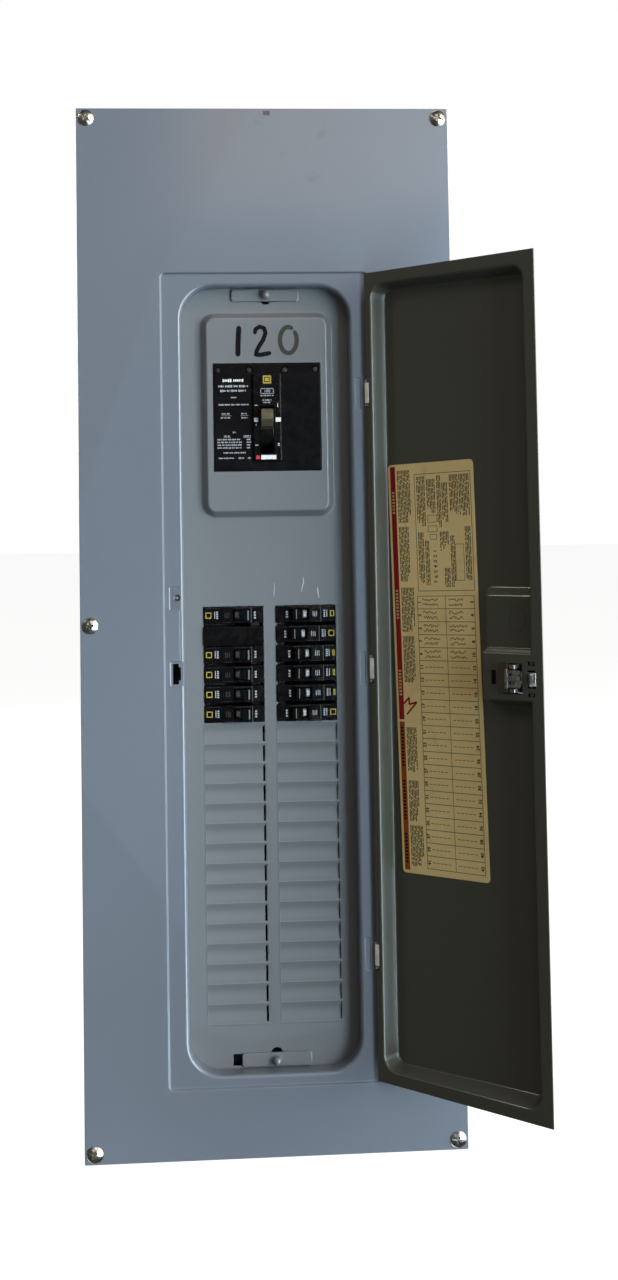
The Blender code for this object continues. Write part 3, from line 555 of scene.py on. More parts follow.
def digits(bm, text, size, place, thick, spin=0.0, weight=0.0):
    """Adds digits as a thin solid, with place(a, lift, b) applied."""
    curve = bpy.data.curves.new("digits", "FONT")
    curve.body = text
    curve.size = size
    curve.extrude = thick
    curve.offset = weight
    curve.resolution_u = 3
    curve.align_x, curve.align_y = "CENTER", "CENTER"
    obj = add_object("digits", curve)
    mesh = applied(obj)
    bpy.data.objects.remove(obj)
    flat = bmesh.new()
    flat.from_mesh(mesh)
    bpy.data.meshes.remove(mesh)
    bmesh.ops.remove_doubles(flat, verts=flat.verts, dist=1e-5)
    c, s = math.cos(spin), math.sin(spin)
    for v in flat.verts:
        a, b, lift = v.co
        v.co = place(a * c - b * s, lift, a * s + b * c)
    add_mesh(bm, flat)


def stroke(bm, path, width, h, place=front_place, lift=0.07):
    """Adds a marker line along (x, z) points, as a thin flat solid with round-ish ends."""
    left, right = [], []
    last = len(path) - 1
    for i, (x, z) in enumerate(path):
        before, after = path[max(0, i - 1)], path[min(last, i + 1)]
        d = Vector((after[0] - before[0], after[1] - before[1])).normalized()
        end = min(i, last - i)
        w = width / 2 * (0.45 if end == 0 else 0.9 if end == 1 else 1.0)
        left.append((x - d.y * w, z + d.x * w))
        right.append((x + d.y * w, z - d.x * w))
    for i in range(last):
        slab(bm, [left[i], left[i + 1], right[i + 1], right[i]], h - 0.05, h + lift, place)


def dense(path):
    """A path with points added every 1.6 mm or so."""
    out = [path[0]]
    for (x0, z0), (x1, z1) in zip(path, path[1:]):
        count = max(1, round(math.hypot(x1 - x0, z1 - z0) / 1.6))
        out += [(x0 + (x1 - x0) * i / count, z0 + (z1 - z0) * i / count) for i in range(1, count + 1)]
    return out


# ------------------------------------------------------------ cover
def cover_rings():
    """The cover's section as (area, radius, height): over the front, into the opening and back behind."""
    edge = (-181.0, 181.0, -500.0, 500.0)
    step, drop = 1.9, FRONT - LAND  # the slope from the face down to the land
    roll, fall, radius = 3.5, 3.8, 31.0  # the rolled edge of the door opening
    back = FRONT - SHEET
    spots = [(edge, 1.5, back), (edge, 1.5, FRONT - 0.5), (grown(edge, -0.15), 1.5, FRONT - 0.15)]
    spots += [(grown(edge, -0.5), 1.4, FRONT), (grown(LAND_RECT, step + 1.6), 6.4, FRONT)]
    for i in range(9):
        t = i / 8
        spots.append((grown(LAND_RECT, step * (1 - t)), 3.0 + step * (1 - t), FRONT - drop * bend(t, 0.45)))
    spots.append((grown(LAND_RECT, -1.0), 2.6, LAND))
    spots.append((grown(OPENING, roll + 1.0), radius + roll + 1.0, LAND))
    for i in range(11):
        a = math.pi / 2 * i / 10
        out = roll * (1 - math.sin(a))
        spots.append((grown(OPENING, out), radius + out, LAND - fall * (1 - math.cos(a))))
    lip = LAND - fall - 1.0
    spots += [(OPENING, radius, lip), (OPENING, radius, 73.6), (OPENING, radius, 72.6)]
    spots += [(grown(OPENING, SHEET), radius + SHEET, h) for h in (72.6, lip)]
    for i in range(6, -1, -1):
        a = math.pi / 2 * i / 6
        out = SHEET + (roll - SHEET + 0.4) * (1 - math.sin(a))
        h = LAND - SHEET - (fall - SHEET + 0.4) * (1 - math.cos(a))
        spots.append((grown(OPENING, out), radius + out, h))
    return spots + [(grown(LAND_RECT, 0.4), 3.0, LAND - SHEET), (grown(LAND_RECT, step + 0.6), 5.0, back)]


def build_cover():
    bm = stack(bmesh.new(), cover_rings(), 12, closed=True)
    cover = make("front_cover_skin", bm, "cover", ["front_cover"], "grey_paint")
    slots = box(bmesh.new(), -93.6, -88.0, -96, -84, -55.6, -36.0)
    for z in HINGES.values():
        box(slots, 94.7, 100.6, -99, -84, z - 11.4, z + 11.4)
    notch = box(bmesh.new(), -90.0, -86.0, -96.1, -83.9, -52.0, -39.2)
    screw_hole = disc(bmesh.new(), (-88.8, -LAND, 26.6), 3.3, 8, (0, 1, 0))
    recesses = []
    for area in [(-95.4, -82.8, -56.6, -34.6)] + [(86.6, 90.4, z - 15, z + 15) for z in HINGES.values()]:
        steps = ((0.0, 0.7), (0.3, 0.62), (1.0, 0.08), (1.4, -0.1))
        recesses.append(stack(bmesh.new(), [(grown(area, g), 1.2 + g, LAND - d) for g, d in steps], 4))
    # Wedges pressed into the land beside and above the strike: steep at the left, running out at the right.
    for x0, x1, z0, z1, deep in ((-95.4, -86.0, 15.6, 36.4, 1.0), (-86.2, -82.6, -34.0, 14.4, 0.6)):
        section = [(x0 - 1.4 * deep, 1), (x0 - 1.4 * deep, 0.1), (x0 - deep, -0.08 * deep)]
        section += [(x0 - 0.3 * deep, -0.62 * deep), (x0, -0.7 * deep), (x1, 0.05), (x1, 1)]
        recesses.append(skin(bmesh.new(), [[(x, -(LAND + h), z) for x, h in section] for z in (z0, z1)]))
    section = [(31.0, 0.1), (37.0, -0.72), (38.4, 0.1), (38.4, 1), (31.0, 1)]
    recesses.append(skin(bmesh.new(), [[(x, -(LAND + h), z) for z, h in section] for x in (-94.2, -86.6)]))
    cut(cover, slots, notch, screw_hole, *recesses)
    # A near-black plate behind the strike slot: painted shadow where the box's inside would be in shade.
    make("strike_painted_shadow", box(bmesh.new(), -98.5, -83.5, -80.4, -79.6, -62.0, -30.0), "dark")


def screw_head(x, z, radius, base, rise, n):
    """A domed head with a stem, before its slots are cut."""
    profile = [(0, -(base + rise))]
    for i in range(1, 9):
        t = i / 8
        profile.append((radius * t * 0.97, -(base + rise * (1 - t ** 2.3) + 0.5 * (1 - t))))
    profile += [(radius, -(base + 0.25)), (radius * 0.985, -base), (radius * 0.3, -base)]
    profile += [(radius * 0.3, -(base - 9)), (0, -(base - 10))]
    return lathe(bmesh.new(), profile, (x, z), n)


def build_screws():
    turns = {"top": (38, 20), "middle": (78, 5), "bottom": (25, 8)}
    for row, z in (("top", 490.5), ("middle", 1.5), ("bottom", -490.5)):
        for side, x, angle in (("left", -171.4, turns[row][0]), ("right", 171.4, turns[row][1])):
            bm = screw_head(x, z, 7.9, FRONT + 0.2, 2.7, 40)
            screw = f"cover_screw_{row}_{side}"
            obj = make(f"{screw}_detail", bm, "zinc", [screw], "chrome")
            slots = []
            for half, top, floor, tall in ((9, 6, 1.1, 0.85), (3.1, 6.1, 0.4, 1.15), (1.13, 6.2, 0.45, 3.4)):
                slots.append(box(bmesh.new(), -half, half, -(FRONT + top), -(FRONT + floor), -tall, tall))
            turn = Matrix.Translation((x, 0, z)) @ Matrix.Rotation(math.radians(angle), 4, "Y")
            cut(obj, *slots, matrix=turn)
    bm = screw_head(-88.8, 26.6, 3.1, LAND - 3.6, 0.8, 24)
    obj = make("bonding_screw_detail", bm, "zinc", ["bonding_screw"], "chrome")
    cut(obj, box(bmesh.new(), -92.5, -85, -(LAND + 3), -(LAND - 3.4), 26.1, 27.1))


# ------------------------------------------------------------ dead front
PAN = (-60.5, 62.2, 106.0, 299.8)  # the raised pan round the main breaker
PAN_WIDE, PAN_RISE = 6.8, 8.0
MAIN_WINDOW = (-51.8, 53.4, 147.2, 252.8)
SLIDE_SLOT = (-40.4, -22.0, -421.4, -410.4)


def pole_z(index):
    return POLES_TOP - POLE * (index + 0.5)


def dead_height(x, z):
    """How far the dead front stands out: the raised pan, and each twist-out's scoop and ridges."""
    h = PAN_RISE * bend(0.5 - sdf(x, z, PAN, 11.0) / PAN_WIDE, 0.24)
    if not POLES_TOP - POLES * POLE - 0.5 < z < POLES_TOP - FILLED * POLE + 0.5:
        return h
    row = (POLES_TOP - z) / POLE
    for x0, x1 in WINDOWS.values():
        if x0 - 0.5 < x < x1 + 0.5:
            v = row % 1.0
            edge = min(1.0, (x - x0) / 0.2, (x1 + 0.5 - x) / 3.0)
            scoop = ease(v / 0.36) if v < 0.36 else 1 - ease((v - 0.36) / 0.62)
            h -= 1.75 * scoop * max(0.0, edge)
            if abs(row - round(row)) * POLE < 0.12:
                h += 0.3
            elif abs(x - x0) < 0.12:
                h += 0.25
    return h


def build_dead_front():
    exact_x, exact_z, holes = [], [], [MAIN_WINDOW, SLIDE_SLOT]
    half_case, half_slot, slot_top = 8.4, 7.9, 6.6  # of one breaker, and of one twist-out's slot
    for side, slot_wide in (("left", 2.0), ("right", 1.1)):
        x0, x1 = WINDOWS[side]
        slot_end = x1 - 0.4
        slot, neck = slot_end - slot_wide, slot_end - slot_wide * 0.55
        exact_x += [x0 - 0.5, x0, x0 + 0.2, slot, neck, slot_end, x1, x1 + 0.4]
        holes.append((x0 + 1.0, x1, POLES_TOP - FILLED * POLE + 1.1, POLES_TOP - 1.1))
        for z in [pole_z(i) for i in range(FILLED)]:
            holes.append((x0, x1, z - half_case, z + half_case))
            exact_z += [z - half_case, z + half_case]
        for z in [pole_z(i) for i in range(FILLED, POLES)]:
            holes.append((slot, slot_end, z - half_slot, z + slot_top))
            holes.append((neck, slot_end, z - half_slot, z + half_slot))
            exact_z += [z - half_slot, z + slot_top, z + half_slot]
    for i in range(FILLED, POLES + 1):
        z = POLES_TOP - POLE * i
        exact_z += [z - 0.5, z, z + 0.5]
    for x0, x1, z0, z1 in (MAIN_WINDOW, SLIDE_SLOT):
        exact_x += [x0, x1]
        exact_z += [z0, z1]
    xs = lines(-88.0, 87.0, 3.2, [(-70, -50, 0.8), (50, 72, 0.8)], exact_x)
    zs = lines(-429.5, 332.5, 2.4, [(98, 122, 0.8), (284, 309, 0.8)], exact_z)
    bm = sheet_grid(xs, zs, dead_height, SHEET, holes, lambda x, h, z: (x, -(DEAD + h), z))
    plate = make("dead_front_skin", bm, ["dead", "dead"], ["dead_front"], "grey_paint", angle=42)
    knob_holes = disc(bmesh.new(), (0.8, -DEAD, 316.4), 5.4, 12, (0, 1, 0), 40)
    cut(plate, disc(knob_holes, (1.5, -DEAD, -410.8), 5.6, 12, (0, 1, 0), 40))

    bm = bmesh.new()
    for i in range(POLES):
        for x, number in ((-72.2, 2 * i + 1), (71.4, 2 * i + 2)):
            place = lambda a, lift, b, x=x, z=pole_z(i) + 1.5: (x + a, -(DEAD + 0.06 + lift * 0.6), z + b)
            digits(bm, str(number), 5.0, place, 0.14)
    printed("embossed_numbers", bm, "dead", "grey_paint")

    bm = bmesh.new()
    stroke(bm, [(5.4, 38.6), (5.7, 33.5), (5.0, 29), (5.2, 25)], 0.55, DEAD)
    stroke(bm, [(33.6, 44.0), (34.2, 39), (32.8, 34.5), (32.0, 29.4)], 0.8, DEAD)
    stroke(bm, [(47.6, 33.4), (48.0, 29.5), (48.8, 23.2)], 1.0, DEAD)
    printed("paint_scratches", bm, "scratch", "grey_paint")


def build_marker_digits():
    """Hand-drawn digits above the main breaker."""
    h = DEAD + PAN_RISE
    bm = bmesh.new()
    stroke(bm, dense([(-25.6, 289.2), (-26.3, 280), (-26.8, 270), (-27.0, 259.4)]), 5.0, h)
    two = [(-10.4, 281.0), (-9.4, 286.0), (-5.4, 288.4), (-1.0, 286.8)]
    two += [(0.2, 282.0), (-2.2, 275.4), (-6.4, 269.0), (-10.0, 261.8)]
    stroke(bm, dense(two), 4.2, h)
    stroke(bm, dense([(-11.4, 261.2), (-5.0, 260.8), (5.6, 262.6)]), 4.4, h)
    printed("marker_digits_dark", bm, "marker", "black_handle")
    turns = [math.radians(55 + 352 * i / 32) for i in range(33)]
    bm = bmesh.new()
    stroke(bm, [(22.4 + 8.2 * math.cos(a), 275.0 + 12.8 * math.sin(a)) for a in turns], 4.4, h)
    printed("marker_digit_light", bm, "marker_thin", "black_handle")


def build_slides():
    """The two sliding retainers, each a plate with a ball knob."""
    slides = (
        ("top", "upper_slide", (-32.8, 33.4, 313.9, 325.4), (1.0, 320.0)),
        ("bottom", "lower_slide", (-32.0, 35.0, -422.4, -409.4), (1.5, -416.2)),
    )
    base = DEAD + 0.3
    top = base + 2.3
    for where, body, area, knob in slides:
        steps = ((0.0, 0.0), (0.0, 1.5), (-0.25, 2.0), (-0.8, 2.3))
        bm = stack(bmesh.new(), [(grown(area, g), 2.6, base + h) for g, h in steps])
        make(f"{where}_slide_plate", bm, "dead", [f"{where}_slide"], "grey_paint", body)
        ball = [(0, -(top + 7.8))]
        for i in range(1, 10):
            a = math.pi * 0.80 * i / 9
            ball.append((4.2 * math.sin(a), -(top + 3.9 + 3.9 * math.cos(a))))
        ball += [(2.1, -(top + 0.4)), (2.1, -(top - 1.5)), (0, -(top - 1.5))]
        bm = lathe(bmesh.new(), ball, knob, 28)
        make(f"{where}_slide_ball", bm, "dead", [f"{where}_slide_knob"], "chrome", body)


# ------------------------------------------------------------ branch breakers
# Each breaker's first space and its poles, from the top, and how far it has shifted sideways.
SEATS = {"left": ((0, 1), (2, 2), (3, 1), (4, 1), (5, 1)), "right": tuple((i, 1) for i in range(6))}
SHIFTS = {"left": (0, 0, 0, 0, 0), "right": (3.3, 1.4, 5.0, 5.0, 5.2, 1.8)}
PIVOT = (26.5, 66.5)  # from the panel's centre and from the wall


def build_case(side, number, index, poles, shift):
    """One branch breaker's case, painted highlight lines along its edges, and print; a runs out from the
    panel's centre.
    """
    name, z0 = f"{side}_{number}", pole_z(index)
    sign, near, far = (-1, 6.0, 63.7) if side == "left" else (1, 6.6, 64.3)
    near, far = near - sign * shift, far - sign * shift

    def place(a, h, z):
        return (sign * a + shift, -h, z0 + z)

    outline = [(near, 58.0), (near, 72.9), (near + 0.6, 73.6), (15.8, 74.0), (17.2, 75.2), (17.9, 75.5)]
    outline += [(35.6, 75.5), (36.4, 75.2), (46.6, 74.9), (47.6, 74.3), (48.4, 73.4)]
    outline += [(far - 0.8, 72.9), (far, 72.2), (far, 58.0)]
    bm = bar(bmesh.new(), outline, -8.0, 7.8, 0.7, place)
    case = make(f"branch_case_{name}_detail", bm, "black", [f"branch_case_{name}"], "black_case")
    low, high = sorted((place(17.9, 0, 0)[0], place(35.5, 0, 0)[0]))
    cut(case, box(bmesh.new(), low, high, -80.0, -57.0, z0 - 5.35, z0 + 5.35))

    face = bmesh.new()
    for *area, h in ((36.9, 46.0, -4.4, 4.6, 74.75), (37.8, 44.6, -3.2, 3.6, 75.0)):
        slab(face, corners(*area), h - 0.6, h + 0.28, place, 0.35)
    make(f"branch_face_{name}", face, "handle", slot="black_case")
    # Grey strips along the case's top and bottom edges: painted highlight lines.
    edges = bmesh.new()
    ridges = [(6.7, 17.6, 35.0, 75.4), (6.7, 37.0, far - 2.0, 73.6)]
    ridges += [(-6.9, 17.6, 46.0, 75.0), (5.6, near + 0.8, 15.0, 73.4)]
    for z, a0, a1, h in ridges:
        slab(edges, corners(a0, a1, z - 0.22, z + 0.22), h - 0.9, h + 0.25, place, 0.08)
    make(f"branch_edges_{name}", edges, "worn_edge", slot="black_case")

    marks = bmesh.new()
    for k in range(3):
        print_bar(marks, 13.0, 14.9, -3.6 + k * 2.5, -1.9 + k * 2.5, 73.95, place)
    print_bar(marks, 52.4, 53.2, -3.2, 3.6, 73.2, place)
    for k in range(4):
        print_bar(marks, 49.6, 51.3, -3.4 + k * 1.9, -2.1 + k * 1.9, 73.35, place)
    printed(f"branch_print_{name}", marks, "print_ink")
    faint = bmesh.new()
    rng = random.Random(number * 7 + (3 if side == "left" else 11))
    for k in range(3):
        print_bar(faint, 39.0 + k * 1.7, 39.7 + k * 1.7, -2.6, 2.9 - rng.random(), 75.25, place)
    # The faint print is darker on the left column than on the right: painted shade on the left.
    printed(f"branch_faint_print_{name}", faint, "worn_edge" if side == "left" else "grey_ink")
    ring = bmesh.new()
    a1, c1 = (far - 0.9, far - 1.8) if far < 61.9 else (61.8, 60.9)
    for q in ((56.0, a1, -2.9, -2.0), (56.0, a1, 2.0, 2.9), (56.0, 56.9, -2.0, 2.0), (c1, a1, -2.0, 2.0)):
        level = 73.4 - 0.5 * ((q[0] + q[1]) / 2 - 48.4) / (far - 49.2)
        print_bar(ring, *q, level, place, 0.12)
    printed(f"branch_amber_mark_{name}", ring, "amber_ink")

    if poles > 1:
        block = [(near, 58.0), (near, 74.6), (near + 1.0, 75.6), (far - 1.4, 74.8), (far, 73.4), (far, 58.0)]
        bm = bar(bmesh.new(), block, 8.3, 26.9, 0.9, place)
        make(f"branch_blank_half_{name}", bm, "black", slot="black_case")


def handle_outline():
    """The toggle about its pivot: a points to the panel's centre, b to the front."""
    points = [(-7.8, 4.1), (-7.0, 5.0), (-2.6, 8.4), (-1.4, 9.2), (2.8, 14.4), (3.6, 15.0)]
    points += [(4.8, 15.2), (6.3, 14.7), (7.2, 13.9), (7.5, 12.8), (6.9, 8.6), (6.5, 6.0)]
    turns = [math.radians(46 + (298 - 46) * i / 17) for i in range(1, 17)]
    return points + [(8.5 * math.sin(a), 8.5 * math.cos(a)) for a in turns]


def build_handle(side, number, index, shift):
    """One branch breaker's toggle with its rating plate and number."""
    name, body, z0 = f"{side}_{number}", f"toggle_{side}_{number}", pole_z(index)
    # Plate and number are coloured by column: darker plate and grey number on the left as painted shade,
    # lighter plate and white number on the right as painted highlight.
    sign, spin, plate, number_ink = 1, 0, "worn_edge", "grey_ink"
    if side == "right":
        sign, spin, plate, number_ink = -1, math.pi, "plate", "white_ink"
    px = -sign * PIVOT[0] + shift
    along = Vector((4.8, 3.9)).normalized()
    out = Vector((-along.y, along.x))

    def place(a, b, c):
        return (px + sign * a, -(PIVOT[1] + b), z0 + c)

    def on_plate(a, lift, b):
        p = Vector((-4.9, 6.7)) + along * b + out * (0.12 + lift)
        return place(p.x, p.y, a)

    bm = bar(bmesh.new(), handle_outline(), -4.9, 4.9, 0.6, place)
    make(f"branch_toggle_{name}", bm, "handle", [f"branch_handle_{name}"], "black_handle", body)
    bm = slab(bmesh.new(), corners(-3.9, 3.9, -2.6, 2.6), -0.7, 0.05, on_plate, 0.15)
    make(f"rating_plate_{name}", bm, plate, slot="black_handle", body=body)
    bm = bmesh.new()
    digits(bm, "20", 5.0, lambda a, lift, b: on_plate(a, 0.02 + lift, b), 0.05, spin, 0.05)
    printed(f"rating_number_{name}", bm, number_ink, "black_handle", body)


def build_branches():
    for side, seats in SEATS.items():
        for number, (index, poles) in enumerate(seats, 1):
            shift = SHIFTS[side][number - 1]
            build_case(side, number, index, poles, shift)
            build_handle(side, number, index, shift)


# ------------------------------------------------------------ main breaker
MAIN = (-51.3, 52.9, 147.7, 252.3)
RIDGE = (-12.6, 14.2, 157.4, 242.0)
FACE, RIDGE_TOP = 80.2, 83.4
HANDLE_AXIS = (61.5, 187.2)  # distance from the wall, and height


def build_main_case():
    steps = [(0, 60.0), (0, FACE - 0.7), (-0.2, FACE - 0.2), (-0.7, FACE)]
    bm = stack(bmesh.new(), [(grown(MAIN, g), 1.2, h) for g, h in steps], 4)
    case = make("main_breaker_body", bm, "black_face", ["main_breaker_case"], "black_case")
    tool = bmesh.new()
    screws = [(-46.6, 245.8), (-16.4, 246.2), (18.6, 246.0), (48.2, 246.4)]
    for x, z in screws:
        disc(tool, (x, -FACE, z), 3.5, 5.0, (0, 1, 0), 28)
    cut(case, box(tool, -6.6, 7.0, -90, -40, 164.2, 210.2))

    steps = [(0.9, FACE - 0.5), (0.8, FACE + 0.2), (0.35, RIDGE_TOP - 0.95)]
    steps += [(0.2, RIDGE_TOP - 0.55), (-0.15, RIDGE_TOP - 0.2), (-0.7, RIDGE_TOP)]
    bm = stack(bmesh.new(), [(grown(RIDGE, g), 1.3, h) for g, h in steps], 5)
    ridge = make("main_breaker_ridge", bm, "black", slot="black_case")
    tool = box(bmesh.new(), -6.6, 7.0, -90, -40, 164.2, 210.2)
    cut(ridge, box(tool, -11.6, -7.0, -90, -78, 158.2, 163.0))
    bm = bmesh.new()
    rims = [(-8.0, -6.8, 163.2, 211.2), (7.2, 8.4, 163.2, 211.2)]
    rims += [(-8.0, 8.4, 210.3, 211.6), (-8.0, 8.4, 162.9, 164.1)]
    for area in rims:
        pad(bm, area, 0.2, RIDGE_TOP - 0.2, 0.7, 0.3, 2)
    pad(bm, (-49.6, -14.6, 152.0, 240.2), 2.0, FACE, 0.28, 0.35)
    make("main_breaker_raised_edges", bm, "black_face", slot="black_case")
    bm = bmesh.new()
    # A grey strip along the ridge's right edge: a painted highlight line.
    print_bar(bm, 13.1, 13.9, 164.0, 236.0, RIDGE_TOP - 0.1, lift=0.14)
    printed("main_ridge_edge", bm, "worn_edge")

    bm, slots = bmesh.new(), bmesh.new()
    head = [(0, 1.0), (2.2, 1.1), (2.9, 1.7), (2.9, 2.6), (0, 2.6)]
    for k, (x, z) in enumerate(screws):
        lathe(bm, [(radius, -(FACE - deep)) for radius, deep in head], (x, z), 24)
        one = box(bmesh.new(), -3.4, 3.4, -(FACE + 1), -(FACE - 1.9), -0.4, 0.4)
        one.transform(Matrix.Translation((x, 0, z)) @ Matrix.Rotation(0.5 + k, 4, "Y"))
        add_mesh(slots, one)
    cut(make("main_case_screws", bm, "dark_steel", slot="black_case"), slots)
    bm = box(bmesh.new(), -6.9, 7.3, -60, -40, 163.6, 210.8)
    make("main_slot_floor", bm, "dark", slot="black_case")


def build_main_print():
    """Unreadable lines of print, the generic ratings and the plain marks on the main breaker."""
    rng = random.Random(12)
    white, small = bmesh.new(), bmesh.new()
    f, h = FACE + 0.28, RIDGE_TOP
    words(white, -42.2, -19.0, 235.8, 3.0, f, rng)
    for z, a, b in ((230.2, -46.6, -17.6), (225.8, -44.7, -18.6)):
        words(small, a, b, z, 2.3, f, rng)
    rows = [(219.2, -34.4, -28.6), (212.2, -46.6, -17.0), (203.4, -43.5, -35.0), (203.4, -24.5, -18.6)]
    rows += [(199.4, -44.5, -35.0), (199.4, -24.5, -18.0), (185.2, -33, -29), (181.6, -41.4, -36.0)]
    rows += [(181.6, -22.6, -15.6), (165.4, -42.4, -19.2), (160.2, -46.8, -32.4), (160.2, -27.6, -22.0)]
    rows += [(160.2, -18.6, -15.4)]
    for z in (178.3, 175.6, 172.9, 170.2):
        rows += [(z, -48.0, -24.4), (z, -19.6, -15.4)]
    for z, a, b in rows:
        words(small, a, b, z, 1.5, f, rng)
    for a, b, z in ((-44, -34.4, 201.5), (-25, -17.8, 201.5), (-42, -35, 180.1), (-23, -15.2, 180.1)):
        print_bar(small, a, b, z - 0.12, z + 0.12, f)
    for area in ((-12.2, -8.3, 194.9, 199.2), (8.7, 13.9, 194.9, 199.2), (10.6, 11.2, 209.4, 213.0)):
        print_bar(white, *area, h)
    digits(white, "0", 4.2, lambda a, lift, b: (11.4 + a, -(h + lift), 172.6 + b), 0.05)
    words(small, -11.6, -8.2, 211.2, 1.5, h, rng)
    words(small, -11.4, -8.0, 172.4, 1.5, h, rng)
    print_bar(small, -10.6, -10.1, 191.0, 193.2, h)
    for z, a, b in ((220.6, -5.6, 7.0), (216.2, -4.0, 5.4), (213.9, -3.2, 5.0)):
        words(small, a, b, z, 1.4, h, rng)
    sides = [(-5.2, 6.6, 226.6, 227.1), (-5.2, 6.6, 221.8, 222.3)]
    sides += [(-5.7, -5.2, 222.3, 226.6), (6.6, 7.1, 222.3, 226.6)]
    for x0, x1, z0, z1 in sides:
        print_bar(small, x0, x1, z0 + 0.6, z1 + 0.6, h)
    digits(small, "100", 4.2, lambda a, lift, b: (0.7 + a, -(h + lift), 225.0 + b), 0.05)
    printed("main_print_bold", white, "white_ink")
    printed("main_print_fine", small, "grey_ink")
    amber, border, label = bmesh.new(), bmesh.new(), bmesh.new()
    print_bar(amber, -3.2, 4.8, 232.3, 240.2, h)
    printed("main_amber_mark", amber, "amber_ink")
    sides = [(-1.9, 3.5, 238.0, 238.9), (-1.9, 3.5, 233.6, 234.5)]
    sides += [(-1.9, -1.0, 234.5, 238.0), (2.6, 3.5, 234.5, 238.0)]
    for area in sides:
        print_bar(border, *area, h + 0.06, lift=0.05)
    printed("main_amber_mark_border", border, "black_ink")
    print_bar(label, -5.8, 8.7, 158.6, 162.9, h, lift=0.15)
    printed("main_white_label", label, "white_ink")


def build_main_controls():
    """The trip button, and the handle's drum and ribbed grip about their axis."""
    bm = box(bmesh.new(), -11.1, -7.5, -(RIDGE_TOP + 0.5), -(RIDGE_TOP - 5), 158.7, 162.5, 0.35)
    make("trip_button_cap", bm, "red", ["main_trip_button"], "red_button", "trip_button")
    y0, z0 = HANDLE_AXIS
    lean = math.radians(26)
    c, s = math.cos(lean), math.sin(lean)

    def place(a, b, x):
        return (x, -(y0 + b * c - a * s), z0 + a * c + b * s)

    radius = 22
    flat = math.asin(6.6 / radius)  # half the angle that the grip's foot takes
    turns = [flat + (2 * math.pi - 2 * flat) * i / 44 for i in range(45)]
    drum = [(radius * math.sin(a), radius * math.cos(a)) for a in turns]
    bm = bar(bmesh.new(), drum, -6.2, 6.6, 0.5, place)
    make("main_handle_drum", bm, "handle", slot="black_handle", body="main_handle")
    side = [(6.6, 20.0), (6.0, 28.0), (5.9, 33.0), (5.2, 35.0), (3.8, 36.0)]
    grip = side + [(0, 36.4)] + [(-a, b) for a, b in reversed(side)]
    bm = bar(bmesh.new(), grip, -5.7, 6.1, 0.8, place)
    for k in range(4):
        a = -3.6 + k * 2.4
        bar(bm, corners(a - 0.35, a + 0.35, 35.0, 36.75), -4.6, 5.0, 0.25, place)
    make("main_handle_grip", bm, "tan", ["main_breaker_handle"], "black_handle", "main_handle")


# ------------------------------------------------------------ door
C, S = math.cos(DOOR_TURN), math.sin(DOOR_TURN)
# From the door's own u, depth and z to the open door's place.
DOOR_MATRIX = Matrix((
    (-C, S, 0, HINGE[0] - DOOR_REACH * S),
    (-S, -C, 0, HINGE[1] + DOOR_REACH * C),
    (0, 0, 1, 0),
    (0, 0, 0, 1),
))
DOOR_U, DOOR_Z = (0.8, 197.0), (-432.2, 337.2)
RIM_RECT = (7.5, 186.2, -421.3, 326.3)
DEPTH, POCKET = 16.0, 8.5  # the panel's depth, and the lock pocket's


def on_door(name, bm, mats, replaces=(), slot=None, body="door", **more):
    make(name, bm, mats, replaces, slot, body, matrix=DOOR_MATRIX, **more)


def door_depth(u, z):
    """How far the pressed panel stands out of the rim's plane."""
    slope = 5.9 + 4.0 * ease((u - 10) / 160)
    base = DEPTH * bend(-sdf(u, z, RIM_RECT, 15.0) / slope, 0.30)
    if u < 120 or not -80 < z < 42:
        return base
    t_u = max(0.0, min(1.0, (133.0 - u) / 7.5))
    t_low = max(0.0, min(1.0, (-63.5 - z) / 9.5))
    t_high = max(0.0, min(1.0, (z - 26.5) / 9.5))
    land = DEPTH * bend(min(1.0, math.hypot(t_u, t_low)), 0.30)
    pocket = POCKET + (DEPTH - POCKET) * bend(min(1.0, math.hypot(t_u, t_high)), 0.30)
    return min(base, land + (pocket - land) * bend((z + 23.5) / 4.5, 0.3))


def build_door():
    holes = [(152.8, 175.0, -59.0, -31.8), (179.8, 189.4, -53.4, -37.4), (141.4, 146.6, -51.4, -38.8)]
    holes += [(180.4, 188.4, -33.2, -29.8), (180.4, 188.4, -61.0, -57.6)]
    holes += [(0.0, 4.4, z - 14.2, z + 14.2) for z in HINGES.values()]
    exact_u = [u for hole in holes for u in hole[:2]]
    exact_z = [z for hole in holes for z in hole[2:]]
    us = lines(*DOOR_U, 5.0, [(0.8, 24, 0.9), (123, 136, 0.9), (170, 197, 0.9)], exact_u)
    fine = [(-432.2, -405, 0.9), (-76, -60, 0.9), (-26, -16, 0.7), (24, 40, 0.9), (308, 337.2, 0.9)]
    zs = lines(*DOOR_Z, 8.0, fine, exact_z)
    bm = sheet_grid(us, zs, lambda u, z: -door_depth(u, z), SHEET, holes, front_place)
    # Material 0, the door's inside, is the darker copy of the enamel: painted shade.
    on_door("door_skin", bm, ["door_in", "door"], ["door_panel"], "grey_paint", angle=50)

    turns = [2 * math.pi * i / 48 for i in range(48)]
    rings = []
    for out, d in ((0.6, 0.2), (0.6, -0.35), (0.0, -0.35), (0.0, 0.2)):
        ring = [(165.4 + (7.9 + out) * math.cos(a), 7.1 + (11.2 + out) * math.sin(a)) for a in turns]
        rings.append([(u, POCKET + d, z) for u, z in ring])
    bm = skin(bmesh.new(), rings, closed=True)
    on_door("lock_knockout_outline", bm, "door_in", slot="grey_paint")


def label_point(a, b):
    """Label coordinates, from its left edge and down from its top, to the door's u and z."""
    tilt = math.radians(1.42)
    p, q = a - 50.5, 193.5 - b
    return 69.0 + p * math.cos(tilt) - q * math.sin(tilt), -41.7 + q * math.cos(tilt) + p * math.sin(tilt)


def label_place(a, h, b):
    u, z = label_point(a, b)
    return (u, DEPTH - 0.75 - h, z)


